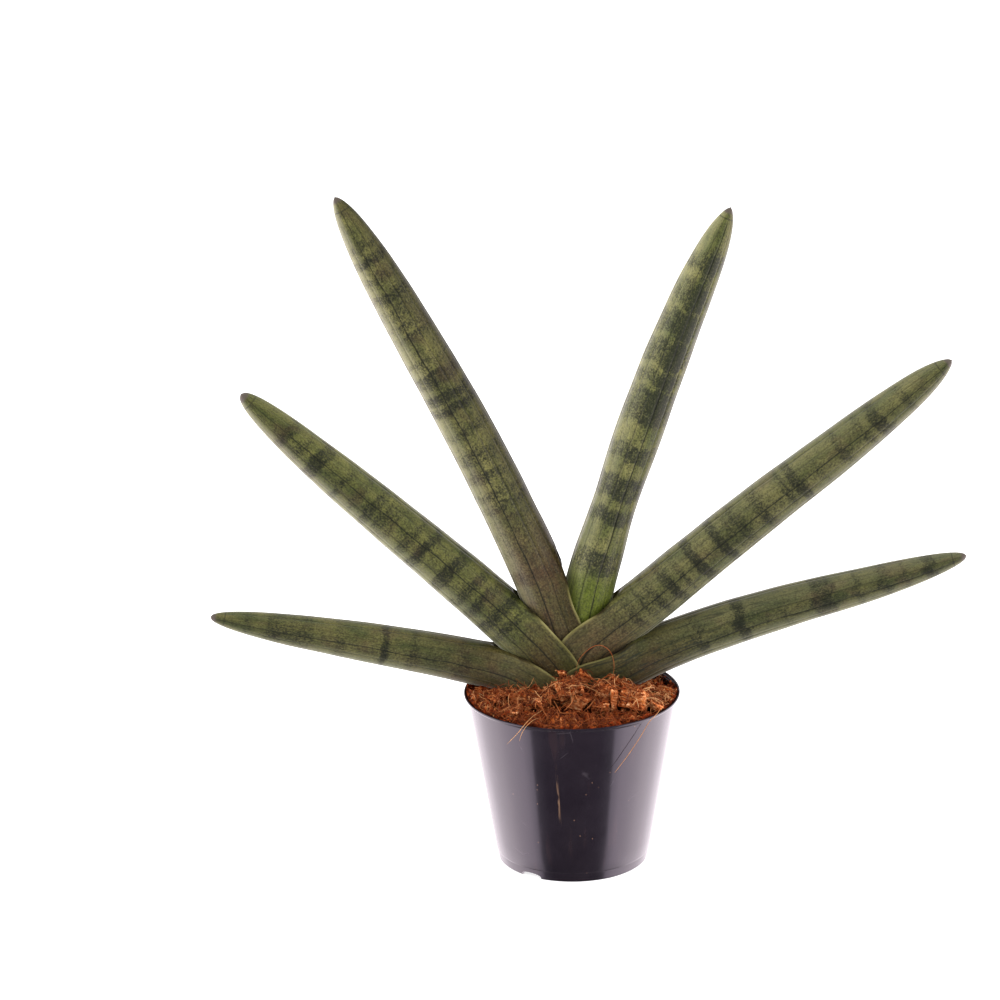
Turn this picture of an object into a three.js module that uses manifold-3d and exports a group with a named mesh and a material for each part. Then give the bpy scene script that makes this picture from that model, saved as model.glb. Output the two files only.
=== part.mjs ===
// A cylindrical snake plant, grown as a flat fan of six leaves, in a thin plastic grower's pot.
// Millimetres, +Z up. The origin lies on the pot's axis, at the level it stands on.
// The fan spreads along X and its narrow side faces Y.

import * as THREE from 'three';
import { mergeVertices } from 'three/addons/utils/BufferGeometryUtils.js';
import Module from 'manifold-3d';

const wasm = await Module();
wasm.setup();

// Clearance between neighbouring pieces.
const GAP = 0.3;

// Pot: a tapered cup with a rolled lip and drain slots in its foot.
const RIM_RADIUS = 60;
const RIM_HEIGHT = 97.6;
const LIP_HEIGHT = 2.2;
const LIP_ROUND = 0.5;
const WALL = 1;
const WALL_TOP_RADIUS = 58;
const MOULD_LINE_HEIGHT = 5.6;
const MOULD_LINE_STEP = 0.25;
const MOULD_LINE_RADIUS = 42.7;
const FOOT_RADIUS = 40.8;
const FOOT_ROUND = 0.7;
const BASE_THICKNESS = 1.2;
const POT_SEGMENTS = 48;
const SLOT_COUNT = 3;
const SLOT_TURN = -125;
const SLOT_WIDTH = 13;
const SLOT_HEIGHT = 3;
const SLOT_DEPTH = 9;
const SLOT_SHOULDER = 0.4;
const SLOT_FLAT = 0.5;
const SLOT_CURVE_STEPS = 3;

// Coir filling: mounded round the plant, low at the back right.
const COIR_SEGMENTS = 40;
const COIR_RINGS = 10;
const COIR_EDGE_LEVEL = 95.2;
const COIR_MOUND = 11.5;
const COIR_MOUND_SPREAD_X = 44;
const COIR_MOUND_SPREAD_Y = 33;
const COIR_DIP = 6;
const COIR_DIP_PLACE = [47, 24];
const COIR_DIP_SPREAD = 17;
const COIR_LUMP = 1.1;
const COIR_LUMP_WAVE_X = { pitch: 0.61, bend: 1.3, bendPitch: 0.37 };
const COIR_LUMP_WAVE_Y = { pitch: 0.53, bend: 1, bendPitch: 0.29 };
const CHIP_COUNT = 34;
const CHIP_SMALL = 4;
const CHIP_LARGE = 9;
const CHIP_REACH = 46;
const CHIP_JITTER = 0.22;
const CHIP_LENGTH_RATIO = 1.4;
const CHIP_HEIGHT_RATIO = 0.7;
const CHIP_TILT = 0.9;
const CHIP_SINK = 0.05;
const CHIP_SEED = 41;

// The larger pieces of husk that lie in front of the leaves: centre, size and turn about Z.
const LARGE_CHIPS = [
  { at: [2.5, -15, 110], size: [7.5, 5, 10], turn: 30 },
  { at: [-20, -26, 102], size: [9, 8, 7], turn: -20 },
  { at: [35, -22, 99.5], size: [12, 10, 9], turn: -24 },
  { at: [14, -34, 98.5], size: [12, 9, 7], turn: 35 },
  { at: [-30, -30, 99.5], size: [11, 9, 7], turn: -12 },
];

// Rounder clumps of matted fibre among them.
const CLUMPS = [
  { at: [-6, -19, 106], size: [21, 13, 13] },
  { at: [22, -18, 102.5], size: [17, 13, 12] },
  { at: [-33, -13, 101], size: [19, 11, 9] },
];
const LARGE_CHIP_TILT = 0.5;
const CLUMP_JITTER = 0.12;

// Crown: the short stem that the leaves and the roots grow from.
const CROWN_CENTRE = [1.5, 8];
const CROWN_RADIUS = 21;
const CROWN_TOP = 83.7;
const CROWN_DEPTH = 15;
const CROWN_EDGE = 5;
const CROWN_SEGMENTS = 28;
const CROWN_CURVE_STEPS = 6;
const ROOT_COUNT = 5;
const ROOT_SIDES = 5;
const ROOT_STEPS = 5;
const ROOT_START = 8;
const ROOT_SINK = 4.5;
const ROOT_THICK = 1.9;
const ROOT_THIN = 0.8;
const ROOT_REACH = 15;
const ROOT_DROP = 46;
const ROOT_STATIONS = [
  { down: 0, out: 0 },
  { down: 0.3, out: 0.45 },
  { down: 0.65, out: 0.65 },
  { down: 1, out: 0.35 },
];
const ROOT_SEED = 7;

// Leaves. Each has a centre line from the crown to its tip, and is nearly round.
// Its width grows from the tip as full * (s / (s + taper)) ^ bluntness.
// Near the crown it flattens into a channel that clasps the younger leaves.
// Across the fan its section has one corner per furrow floor and two per furrow shoulder.
const LEAF_SIDES = 36;
const LEAF_STEPS = 21;
const SHEATH_STEPS = 10;
const SHEATH_REACH = 66;
const TOOL_SIDES = 18;
const TOOL_GROWTH = 0.65;
const ROUNDNESS = 0.92;
const FURROWS = 12;
const FURROW_HALF_ANGLE = 5;
const FURROW_DEPTH = 0.45;
const TIP_WIDTH = 1.4;
const SHEATH_LENGTH = 52;
const MARGIN_BLUNTNESS = 0.45;
const MARGIN_DELAY = 12;

// Ordered from the youngest and innermost leaf to the oldest and outermost one.
const LEAVES = [
  {
    name: 'leaf_high_right',
    leans: 1,
    path: [
      [2, 8, 84], [5.7, 8, 127.1], [12.1, 8.1, 163.2],
      [34.1, 8.8, 233.8], [58.9, 10.1, 301.8], [87.6, 12, 369.1],
    ],
    full: 31, taper: 32.8, bluntness: 0.72,
    waist: 0.11, waistAt: 176, waistSpread: 26,
    baseWidth: 15, clasp: 9.5, claspEnd: 38, claspFade: 62,
  },
  {
    name: 'leaf_high_left',
    leans: -1,
    path: [
      [1, 8, 84], [-6.5, 8, 127.5], [-19.2, 7.9, 167.6],
      [-51.8, 7.1, 240.3], [-88.3, 5.8, 311.2], [-124.7, 4, 379.6],
    ],
    full: 33.5, taper: 49, bluntness: 0.65,
    waist: 0, waistAt: 0, waistSpread: 1,
    baseWidth: 21, clasp: 11.8, claspEnd: 42, claspFade: 36,
  },
  {
    name: 'leaf_mid_right',
    leans: 1,
    path: [
      [4, 8, 84], [8.5, 8, 117.5], [43.8, 7.7, 148.7],
      [97.5, 6.7, 194.5], [154.4, 4.7, 240.8], [207.1, 2, 285],
    ],
    full: 33.1, taper: 47.5, bluntness: 0.63,
    waist: 0, waistAt: 0, waistSpread: 1,
    baseWidth: 24, clasp: 14.1, claspEnd: 40, claspFade: 32,
  },
  {
    name: 'leaf_mid_left',
    leans: -1,
    path: [
      [-1, 8, 84], [-14.1, 8, 114.9], [-45.7, 8.2, 147.4],
      [-89.9, 9.1, 187.7], [-134.9, 10.7, 227.6], [-179.1, 13, 267.7],
    ],
    full: 38.1, taper: 134, bluntness: 0.45,
    waist: 0, waistAt: 0, waistSpread: 1,
    baseWidth: 27, clasp: 16.4, claspEnd: 30, claspFade: 44,
  },
  {
    name: 'leaf_low_right',
    leans: 1,
    path: [
      [5.5, 8, 84], [17.1, 8, 103.2], [61.8, 8.3, 123.8],
      [114.3, 9.6, 140.8], [167.6, 11.9, 154.4], [219.3, 15, 168.4],
    ],
    full: 36.4, taper: 139, bluntness: 0.5,
    waist: 0, waistAt: 0, waistSpread: 1,
    baseWidth: 31, clasp: 18.7, claspEnd: 24, claspFade: 40,
  },
  {
    name: 'leaf_low_left',
    leans: -1,
    path: [
      [-1.5, 8, 84], [-26.9, 8, 104.3], [-58.4, 7.7, 113.3],
      [-105.9, 6.5, 123.8], [-151.6, 4.3, 133.2], [-199.3, 1, 143.3],
    ],
    full: 35.2, taper: 134, bluntness: 0.5,
    waist: 0, waistAt: 0, waistSpread: 1,
    baseWidth: 36, clasp: 21, claspEnd: 22, claspFade: 38,
  },
];

const radians = THREE.MathUtils.degToRad;
const mix = THREE.MathUtils.lerp;

function ease(value, start, end) {
  return THREE.MathUtils.smoothstep(value, start, end);
}

function seededRandom(seed) {
  let state = seed;
  return () => {
    state = (state * 16807) % 2147483647;
    return state / 2147483647;
  };
}

// A geometry with nothing but shared corner points.
function bare(geometry) {
  geometry.deleteAttribute('normal');
  geometry.deleteAttribute('uv');
  return mergeVertices(geometry);
}

function toSolid(geometry) {
  const merged = bare(geometry.clone());
  return new wasm.Manifold(new wasm.Mesh({
    numProp: 3,
    vertProperties: Float32Array.from(merged.getAttribute('position').array),
    triVerts: Uint32Array.from(merged.getIndex().array),
  }));
}

function toGeometry(solid) {
  const mesh = solid.getMesh();
  const geometry = new THREE.BufferGeometry();
  geometry.setAttribute('position', new THREE.BufferAttribute(mesh.vertProperties, mesh.numProp));
  geometry.setIndex(new THREE.BufferAttribute(mesh.triVerts, 1));
  return geometry;
}

// The largest connected piece, without the scraps that a cut can leave.
function mainPiece(solid) {
  const pieces = solid.decompose();
  return pieces.reduce((best, piece) => (piece.volume() > best.volume() ? piece : best));
}

// A closed tube whose points are placed by their share of the length, their angle and their reach.
function shapedTube(sides, steps, place) {
  const tube = bare(new THREE.CylinderGeometry(1, 1, 1, sides, steps));
  const points = tube.getAttribute('position');
  for (let i = 0; i < points.count; i += 1) {
    const share = points.getY(i) + 0.5;
    const angle = Math.atan2(points.getX(i), points.getZ(i));
    const reach = Math.min(1, Math.hypot(points.getX(i), points.getZ(i)));
    const spot = place(share, angle, reach);
    points.setXYZ(i, spot.x, spot.y, spot.z);
  }
  return tube;
}

function curveThrough(points) {
  const corners = points.map(([x, y, z]) => new THREE.Vector3(x, y, z));
  return new THREE.CatmullRomCurve3(corners, false, 'catmullrom', 0.5);
}

// Width across the fan, at a distance from the crown.
function leafWidth(leaf, distance, length) {
  const fromTip = length - distance;
  const grown = leaf.full * (fromTip / (fromTip + leaf.taper)) ** leaf.bluntness;
  const pinch = 1 - leaf.waist * Math.exp(-(((fromTip - leaf.waistAt) / leaf.waistSpread) ** 2));
  const free = Math.max(TIP_WIDTH, grown * pinch);
  return mix(leaf.baseWidth, free, ease(distance, 0, SHEATH_LENGTH));
}

// Half the thickness through the fan, at a distance from the crown.
function leafHalfThickness(leaf, distance, width) {
  const free = width * ROUNDNESS / 2;
  return mix(leaf.clasp, free, ease(distance, leaf.claspEnd, leaf.claspEnd + leaf.claspFade));
}

// Turns an evenly spaced angle into one that sits on a furrow's floor or on one of its two shoulders.
function furrowedAngle(angle) {
  const step = 2 * Math.PI / LEAF_SIDES;
  const index = Math.round(angle / step);
  const furrow = Math.floor(index / 3);
  const corner = index - furrow * 3;
  const spacing = 2 * Math.PI / FURROWS;
  const offsets = [0, radians(FURROW_HALF_ANGLE), spacing - radians(FURROW_HALF_ANGLE)];
  return { angle: (furrow + 0.5) * spacing + offsets[corner], onFloor: corner === 0 };
}

// The sections stand close together in the clasping part and again towards the tip.
function stationDistance(share, length) {
  const sheathShare = SHEATH_STEPS / LEAF_STEPS;
  if (share <= sheathShare) {
    return SHEATH_REACH * share / sheathShare;
  }
  const outward = (share - sheathShare) / (1 - sheathShare);
  return mix(SHEATH_REACH, length, Math.sin(outward * Math.PI / 2));
}

// A leaf as a closed body. With growth it is a plain, slightly larger body, used to cut its neighbours.
function leafGeometry(leaf, growth = 0) {
  const curve = curveThrough(leaf.path);
  const length = curve.getLength();
  const furrowed = growth === 0;
  return shapedTube(furrowed ? LEAF_SIDES : TOOL_SIDES, LEAF_STEPS, (share, evenAngle, reach) => {
    const distance = stationDistance(share, length);
    const centre = curve.getPointAt(distance / length);
    const tangent = curve.getTangentAt(distance / length);
    const fadeStart = leaf.claspEnd + MARGIN_DELAY;
    const sheath = 1 - ease(distance, fadeStart, fadeStart + leaf.claspFade);
    const width = leafWidth(leaf, distance, length);
    const halfWidth = width / 2 + growth;
    const halfThickness = leafHalfThickness(leaf, distance, width) + growth;

    // The section lies level at the crown and square to the centre line further out.
    const heading = Math.atan2(tangent.z, tangent.x);
    const facing = mix(Math.PI / 2, heading, ease(distance, 0, SHEATH_LENGTH));
    const inward = new THREE.Vector3(-leaf.leans * Math.sin(facing), 0, leaf.leans * Math.cos(facing));

    const turned = furrowed ? furrowedAngle(evenAngle) : { angle: evenAngle, onFloor: false };
    const across = -Math.cos(turned.angle);
    const through = Math.sin(turned.angle);
    const onMarginSide = across > 0;
    const bluntness = onMarginSide ? mix(1, MARGIN_BLUNTNESS, sheath) : 1;
    const fade = Math.min(1, width / leaf.full) * (onMarginSide ? 1 - sheath : 1);
    const depth = turned.onFloor ? FURROW_DEPTH * fade : 0;
    const a = Math.sign(across) * Math.abs(across) ** bluntness * (halfWidth - depth) * reach;
    const b = Math.sign(through) * Math.abs(through) ** bluntness * (halfThickness - depth) * reach;

    const spot = centre.clone().addScaledVector(inward, a);
    spot.y += b * leaf.leans;
    if (share === 0) {
      spot.addScaledVector(tangent, -growth);
    }
    return spot;
  });
}

// A root: a round tube that thins from one end to the other.
function rootGeometry(points, growth) {
  const curve = curveThrough(points);
  return shapedTube(ROOT_SIDES, ROOT_STEPS, (share, angle, reach) => {
    const centre = curve.getPointAt(share);
    const tangent = curve.getTangentAt(share);
    const side = new THREE.Vector3(1, 0, 0).cross(tangent).normalize();
    const other = new THREE.Vector3().crossVectors(tangent, side).normalize();
    const radius = (mix(ROOT_THICK, ROOT_THIN, share) + growth) * reach;
    return centre
      .addScaledVector(other, Math.sin(angle) * radius)
      .addScaledVector(side, Math.cos(angle) * radius)
      .addScaledVector(tangent, (share * 2 - 1) * growth);
  });
}

// The wall's outer radius at a height between the mould line and the lip.
function wallRadius(z) {
  const share = (z - MOULD_LINE_HEIGHT) / (RIM_HEIGHT - LIP_HEIGHT - MOULD_LINE_HEIGHT);
  return mix(MOULD_LINE_RADIUS + MOULD_LINE_STEP, WALL_TOP_RADIUS, share);
}

function potSolid() {
  const lipBottom = RIM_HEIGHT - LIP_HEIGHT;
  const insideTop = WALL_TOP_RADIUS - WALL;
  const insideFoot = MOULD_LINE_RADIUS + MOULD_LINE_STEP - WALL;
  const profile = [
    [0, 0],
    [FOOT_RADIUS - FOOT_ROUND, 0],
    [FOOT_RADIUS, FOOT_ROUND],
    [MOULD_LINE_RADIUS, MOULD_LINE_HEIGHT],
    [MOULD_LINE_RADIUS + MOULD_LINE_STEP, MOULD_LINE_HEIGHT + MOULD_LINE_STEP],
    [WALL_TOP_RADIUS, lipBottom],
    [RIM_RADIUS - LIP_ROUND, lipBottom],
    [RIM_RADIUS, lipBottom + LIP_ROUND],
    [RIM_RADIUS, RIM_HEIGHT - LIP_ROUND],
    [RIM_RADIUS - LIP_ROUND, RIM_HEIGHT],
    [insideTop + LIP_ROUND, RIM_HEIGHT],
    [insideTop, RIM_HEIGHT - LIP_ROUND],
    [insideTop, lipBottom],
    [insideFoot, MOULD_LINE_HEIGHT + MOULD_LINE_STEP],
    [insideFoot - WALL * 2, BASE_THICKNESS],
    [0, BASE_THICKNESS],
  ].map(([r, z]) => new THREE.Vector2(r, z));
  const cup = new THREE.LatheGeometry(profile, POT_SEGMENTS).rotateX(Math.PI / 2);
  let solid = toSolid(cup);
  for (let i = 0; i < SLOT_COUNT; i += 1) {
    solid = solid.subtract(toSolid(slotGeometry(SLOT_TURN + i * 360 / SLOT_COUNT)));
  }
  return solid;
}

// The arched slot that one drain hole leaves in the foot's corner.
function slotGeometry(turn) {
  const half = SLOT_WIDTH / 2;
  const arch = new THREE.Shape();
  arch.moveTo(-half, -1);
  arch.lineTo(half, -1);
  arch.lineTo(half, SLOT_HEIGHT * SLOT_SHOULDER);
  arch.quadraticCurveTo(half, SLOT_HEIGHT, half * SLOT_FLAT, SLOT_HEIGHT);
  arch.lineTo(-half * SLOT_FLAT, SLOT_HEIGHT);
  arch.quadraticCurveTo(-half, SLOT_HEIGHT, -half, SLOT_HEIGHT * SLOT_SHOULDER);
  const slot = new THREE.ExtrudeGeometry(arch, {
    depth: SLOT_DEPTH,
    bevelEnabled: false,
    curveSegments: SLOT_CURVE_STEPS,
  });
  slot.rotateX(Math.PI / 2);
  slot.translate(0, -(FOOT_RADIUS + WALL * 3 - SLOT_DEPTH), 0);
  slot.rotateZ(radians(turn + 90));
  return slot;
}

// Small humps in the filling's top: two crossed waves, each bent by the other direction.
function coirLumps(x, y) {
  const waveX = x * COIR_LUMP_WAVE_X.pitch + COIR_LUMP_WAVE_X.bend * Math.sin(y * COIR_LUMP_WAVE_X.bendPitch);
  const waveY = y * COIR_LUMP_WAVE_Y.pitch + COIR_LUMP_WAVE_Y.bend * Math.sin(x * COIR_LUMP_WAVE_Y.bendPitch);
  return COIR_LUMP * Math.sin(waveX) * Math.cos(waveY);
}

function coirLevel(x, y) {
  const mound = COIR_MOUND * Math.exp(-((x / COIR_MOUND_SPREAD_X) ** 2) - ((y / COIR_MOUND_SPREAD_Y) ** 2));
  const [dipX, dipY] = COIR_DIP_PLACE;
  const dip = COIR_DIP * Math.exp(-(((x - dipX) ** 2 + (y - dipY) ** 2) / COIR_DIP_SPREAD ** 2));
  return COIR_EDGE_LEVEL + mound - dip + coirLumps(x, y);
}

// The filling's radius at a height, just inside the flats of the pot's inner face.
function fillRadius(z) {
  return (wallRadius(z) - WALL) * Math.cos(Math.PI / POT_SEGMENTS) - GAP;
}

// The filling without its chips: it fits the pot and its top follows the mound.
function coirBody() {
  const edge = fillRadius(COIR_EDGE_LEVEL);
  const low = MOULD_LINE_HEIGHT + MOULD_LINE_STEP;
  const foot = fillRadius(MOULD_LINE_HEIGHT);
  const profile = [
    new THREE.Vector2(0, BASE_THICKNESS + GAP),
    new THREE.Vector2(foot - WALL * 2, BASE_THICKNESS + GAP),
    new THREE.Vector2(foot, low),
  ];
  for (let ring = 0; ring <= COIR_RINGS; ring += 1) {
    profile.push(new THREE.Vector2(edge * (1 - ring / COIR_RINGS), COIR_EDGE_LEVEL));
  }
  const body = bare(new THREE.LatheGeometry(profile, COIR_SEGMENTS).rotateX(Math.PI / 2));
  const points = body.getAttribute('position');
  for (let i = 0; i < points.count; i += 1) {
    const x = points.getX(i);
    const y = points.getY(i);
    if (points.getZ(i) > low + 1) {
      const level = coirLevel(x, y);
      const pull = Math.min(1, fillRadius(level) / edge);
      points.setXYZ(i, x * pull, y * pull, level);
    }
  }
  return body;
}

// One piece of husk: a block with uneven corners.
function chipGeometry([long, wide, high], random) {
  const chip = bare(new THREE.BoxGeometry(long, wide, high));
  const points = chip.getAttribute('position');
  for (let i = 0; i < points.count; i += 1) {
    const shift = [long, wide, high].map((side) => side * CHIP_JITTER * (random() * 2 - 1));
    points.setXYZ(i, points.getX(i) + shift[0], points.getY(i) + shift[1], points.getZ(i) + shift[2]);
  }
  return chip;
}

// A clump of fibre: a ball with an uneven surface.
function clumpGeometry([long, wide, high], random) {
  const clump = bare(new THREE.IcosahedronGeometry(0.5, 1));
  const points = clump.getAttribute('position');
  for (let i = 0; i < points.count; i += 1) {
    const swell = 1 + CLUMP_JITTER * (random() * 2 - 1);
    points.setXYZ(i, points.getX(i) * swell, points.getY(i) * swell, points.getZ(i) * swell);
  }
  clump.scale(long, wide, high);
  return clump;
}

function scatteredChips(random) {
  const chips = [];
  for (let i = 0; i < CHIP_COUNT; i += 1) {
    const turn = random() * Math.PI * 2;
    const reach = CHIP_REACH * Math.sqrt(random());
    const x = Math.cos(turn) * reach;
    const y = Math.sin(turn) * reach;
    const size = mix(CHIP_SMALL, CHIP_LARGE, random());
    const chip = chipGeometry([size * CHIP_LENGTH_RATIO, size, size * CHIP_HEIGHT_RATIO], random);
    chip.rotateX((random() - 0.5) * CHIP_TILT);
    chip.rotateY((random() - 0.5) * CHIP_TILT);
    chip.rotateZ(random() * Math.PI);
    chip.translate(x, y, coirLevel(x, y) - size * CHIP_SINK);
    chips.push(chip);
  }
  return chips;
}

function coirSolid(rootTools, crownTool, leafTools) {
  const random = seededRandom(CHIP_SEED);
  const placed = LARGE_CHIPS.map(({ at, size, turn }) => {
    const chip = chipGeometry(size, random);
    chip.rotateX((random() - 0.5) * LARGE_CHIP_TILT);
    chip.rotateZ(radians(turn));
    chip.translate(...at);
    return chip;
  });
  const clumps = CLUMPS.map(({ at, size }) => clumpGeometry(size, random).translate(...at));
  let solid = toSolid(coirBody());
  for (const chip of [...placed, ...clumps, ...scatteredChips(random)]) {
    solid = solid.add(toSolid(chip));
  }
  for (const tool of [crownTool, ...rootTools, ...leafTools]) {
    solid = solid.subtract(tool);
  }
  return mainPiece(solid);
}

// The crown: a short stem, flat on top where the leaves are attached and rounded below.
function crownGeometry(growth = 0) {
  const radius = CROWN_RADIUS + growth;
  const top = CROWN_TOP + growth;
  const bottom = CROWN_TOP - CROWN_DEPTH - growth;
  const profile = new THREE.Path();
  profile.moveTo(0, bottom);
  profile.quadraticCurveTo(radius, bottom, radius, top - CROWN_EDGE);
  profile.lineTo(radius, top);
  profile.lineTo(0, top);
  const crown = new THREE.LatheGeometry(profile.getPoints(CROWN_CURVE_STEPS), CROWN_SEGMENTS);
  crown.rotateX(Math.PI / 2);
  crown.translate(...CROWN_CENTRE, 0);
  return crown;
}

function rootPaths() {
  const random = seededRandom(ROOT_SEED);
  const [centreX, centreY] = CROWN_CENTRE;
  return Array.from({ length: ROOT_COUNT }, (_, i) => {
    const turn = (i + 0.4 * random()) * Math.PI * 2 / ROOT_COUNT;
    const reach = ROOT_REACH * (0.8 + 0.4 * random());
    const drop = ROOT_DROP * (0.8 + 0.3 * random());
    const top = CROWN_TOP - CROWN_DEPTH + ROOT_SINK;
    return ROOT_STATIONS.map(({ down, out }) => [
      centreX + Math.cos(turn) * (ROOT_START + reach * out),
      centreY + Math.sin(turn) * (ROOT_START + reach * out),
      top - drop * down,
    ]);
  });
}

function rootSolids(growth = 0) {
  return rootPaths().map((path) => toSolid(rootGeometry(path, growth)));
}

function crownSolid() {
  return rootSolids().reduce((whole, root) => whole.add(root), toSolid(crownGeometry()));
}

// Each leaf gives way to all the younger leaves inside it.
function leafSolids(tools) {
  return LEAVES.map((leaf, i) => {
    const whole = toSolid(leafGeometry(leaf));
    return mainPiece(tools.slice(0, i).reduce((solid, tool) => solid.subtract(tool), whole));
  });
}

function leafMaterial() {
  return new THREE.MeshStandardMaterial({ color: 0x5f6f4a, roughness: 0.62, metalness: 0 });
}

function youngLeafMaterial() {
  return new THREE.MeshStandardMaterial({ color: 0x6c8048, roughness: 0.58, metalness: 0 });
}

function potMaterial() {
  return new THREE.MeshStandardMaterial({ color: 0x2c2730, roughness: 0.28, metalness: 0 });
}

function coirMaterial() {
  return new THREE.MeshStandardMaterial({ color: 0x9c5528, roughness: 0.95, metalness: 0 });
}

function crownMaterial() {
  return new THREE.MeshStandardMaterial({ color: 0xb98a55, roughness: 0.85, metalness: 0 });
}

function piece(name, solid, material) {
  const mesh = new THREE.Mesh(toGeometry(solid), material);
  mesh.name = name;
  return mesh;
}

const leafTools = LEAVES.map((leaf) => toSolid(leafGeometry(leaf, TOOL_GROWTH)));
const group = new THREE.Group();
group.add(piece('pot', potSolid(), potMaterial()));
group.add(piece('coir', coirSolid(rootSolids(GAP), toSolid(crownGeometry(GAP)), leafTools), coirMaterial()));
group.add(piece('crown_with_roots', crownSolid(), crownMaterial()));
leafSolids(leafTools).forEach((solid, i) => {
  const material = i === 0 ? youngLeafMaterial() : leafMaterial();
  group.add(piece(LEAVES[i].name, solid, material));
});

export default group;
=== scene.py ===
# A cylindrical snake plant, grown as a flat fan of six leaves, in a thin plastic grower's pot.
# Metres, +Z up. Lengths that are easier to read in millimetres are multiplied by MM.

import math
import random
from functools import partial

import bmesh
import bpy
from mathutils import Matrix, Vector, noise
from mathutils.bvhtree import BVHTree


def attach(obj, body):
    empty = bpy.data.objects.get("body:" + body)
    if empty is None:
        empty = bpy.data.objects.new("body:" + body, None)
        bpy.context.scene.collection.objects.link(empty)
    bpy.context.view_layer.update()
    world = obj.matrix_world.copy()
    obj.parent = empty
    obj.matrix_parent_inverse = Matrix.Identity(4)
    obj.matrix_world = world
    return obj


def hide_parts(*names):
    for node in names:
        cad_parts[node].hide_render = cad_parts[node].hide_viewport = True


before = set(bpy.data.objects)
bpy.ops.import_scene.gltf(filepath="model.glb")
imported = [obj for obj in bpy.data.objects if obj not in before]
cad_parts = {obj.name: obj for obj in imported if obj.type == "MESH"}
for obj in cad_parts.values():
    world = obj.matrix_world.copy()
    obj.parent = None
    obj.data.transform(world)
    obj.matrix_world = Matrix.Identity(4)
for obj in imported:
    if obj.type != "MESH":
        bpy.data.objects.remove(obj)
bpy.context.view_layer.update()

MM = 0.001

# Pot.
RIM_RADIUS = 60
RIM_HEIGHT = 97.6
LIP_HEIGHT = 2.2
WALL = 1.0
WALL_TOP_RADIUS = 58
MOULD_LINE_HEIGHT = 5.6
MOULD_LINE_STEP = 0.25
MOULD_LINE_RADIUS = 42.7
FOOT_RADIUS = 40.8
PLATE_HEIGHT = 3.4
RIM_THICK = 0.9
LIP_BOTTOM = RIM_HEIGHT - LIP_HEIGHT
POT_TURNS = 192
WALL_STEPS = 12
POT_WELD = 0.001
SLOT_COUNT = 3
SLOT_TURN = -125
SLOT_WIDTH = 13
SLOT_HEIGHT = 3
SLOT_DEPTH = 6
SLOT_SEGMENTS = 24
SLOT_ARCH = 0.6
SHARP_TURN = 40

# Coir filling.
GAP = 0.3
COIR_EDGE_LEVEL = 95.2
COIR_MOUND = 11.5
COIR_SPREAD = (44, 33)
COIR_DIP = 6
COIR_DIP_PLACE = (47, 24)
COIR_DIP_SPREAD = 17
COIR_RINGS = 88
COIR_TURNS = 440
COIR_REACH = 58
ABOVE_COIR = 128
ABOVE_HUSK = 20
DOWN = Vector((0, 0, -1))
LUMP_HEIGHT = 1.1
EDGE_FADE = 5
EDGE_RISE = 1.3
EDGE_CRUMBS = 0.55

# Crumbs that the filling's top is made of: their height and size, and how far they are bent out of round.
CRUMB_LAYERS = [(2.4, 5.2, 1.6), (1.5, 2.5, 1), (0.8, 1.2, 0)]
SWELL_HEIGHT, SWELL_SIZE = 1.4, 6
BEND, BEND_SIZE = 0.8, 2.1
CRUMB_SPAN = 4.5

# Loose crumbs: how many, the smallest and largest radius, and how far their points are pushed in and out.
CRUMB_BATCHES = 26
CRUMBS_IN_BATCH = 100
CRUMB_RADIUS = (0.35, 1.25)
CRUMB_SHADE = (0.35, 1)
CRUMB_DENT = (0.65, 1.3)
CRUMB_FLATTENED = 0.75
CRUMB_RAISED = 0.3

# Husk. Chips longer than LARGE_CHIP get more points.
SMALL_HUSK_COUNT = 70
SMALL_HUSK_REACH = 51
SMALL_HUSK_SIZE = (2.5, 6.5)
SMALL_HUSK_SHAPE = (1.5, 1, 0.6)
SMALL_HUSK_TILT = 35
SMALL_HUSK_TORN, SMALL_HUSK_JITTER = 0.4, 0.25
LARGE_HUSK_JITTER = 0.13
LARGE_CHIP = 6
LARGE_HUSK_LIGHT, SMALL_HUSK_LIGHT = (1.05, 1.6), (0.7, 1.4)
HUSK_BEVEL = 0.07
HUSK_GRAIN = 2
HUSK_DRAWN = 0.45

# How a point of the coir looks for open sky, which sets the painted shade in its hollows.
SKY_REACH = 7
SKY_RAYS = 6
SKY_SLOPE = 0.8
OFF_SURFACE = 0.3

# Loose strands, short and long: their lengths, widths and number.
STRAND_COUNT = 4000
STRAND_EDGE = 58.6
SHORT_TO_LONG = 2.4
SHORT_STRAND, LONG_STRAND = (2.5, 6), (6, 19)
STRAND_RADIUS = (0.1, 0.27)
STRAND_END = 0.35
STRAND_CURL, STRAND_JITTER = 0.1, 0.11
STRAND_SIDES = 4
FEWEST_POINTS = 4
LEFT_STANDING, STANDING, LEFT_FROM = 0.32, 0.14, -12
STANDING_LIFT = (0.3, 0.55)
STANDING_SPREAD = 0.75
LYING_LIFT = 2.4
SKIPPED_ON_HUSK = 0.9

# Leaves, from the youngest and innermost to the oldest and outermost.
# Each has a centre line from the crown to its tip. Its width grows from the tip as
# full * (s / (s + taper)) ^ bluntness. Near the crown it is a channel that clasps the younger leaves.
# bands: where the dark bands begin and end, in mm from the tip, and how dark they are.
# sides: how much painted pale sheen (above 0) or painted shade (below 0) the skin gets towards the leaf's margins and
# towards its keel.
# margin: how far the margins stand out from the centre line at some distances from the crown.
# stripe: a dark stripe between two distances from the tip and two turns round the leaf, and its strength.
# brown_reach and fresh: how far from the crown these colours go, in mm. lip and dashes: how strong they are.
LEAF_COLUMNS = 144
LEAF_ROWS = 190
SHEATH_ROWS = 64
SHEATH_REACH = 66
SHEATH_LENGTH = 52
ROUNDNESS = 0.92
TIP_WIDTH = 1.4
FURROWS = 12
FURROW_SPACING = 360 / FURROWS
MAIN_FURROW_TURN = 75
STRIP_WIDTH = 8.4
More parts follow.
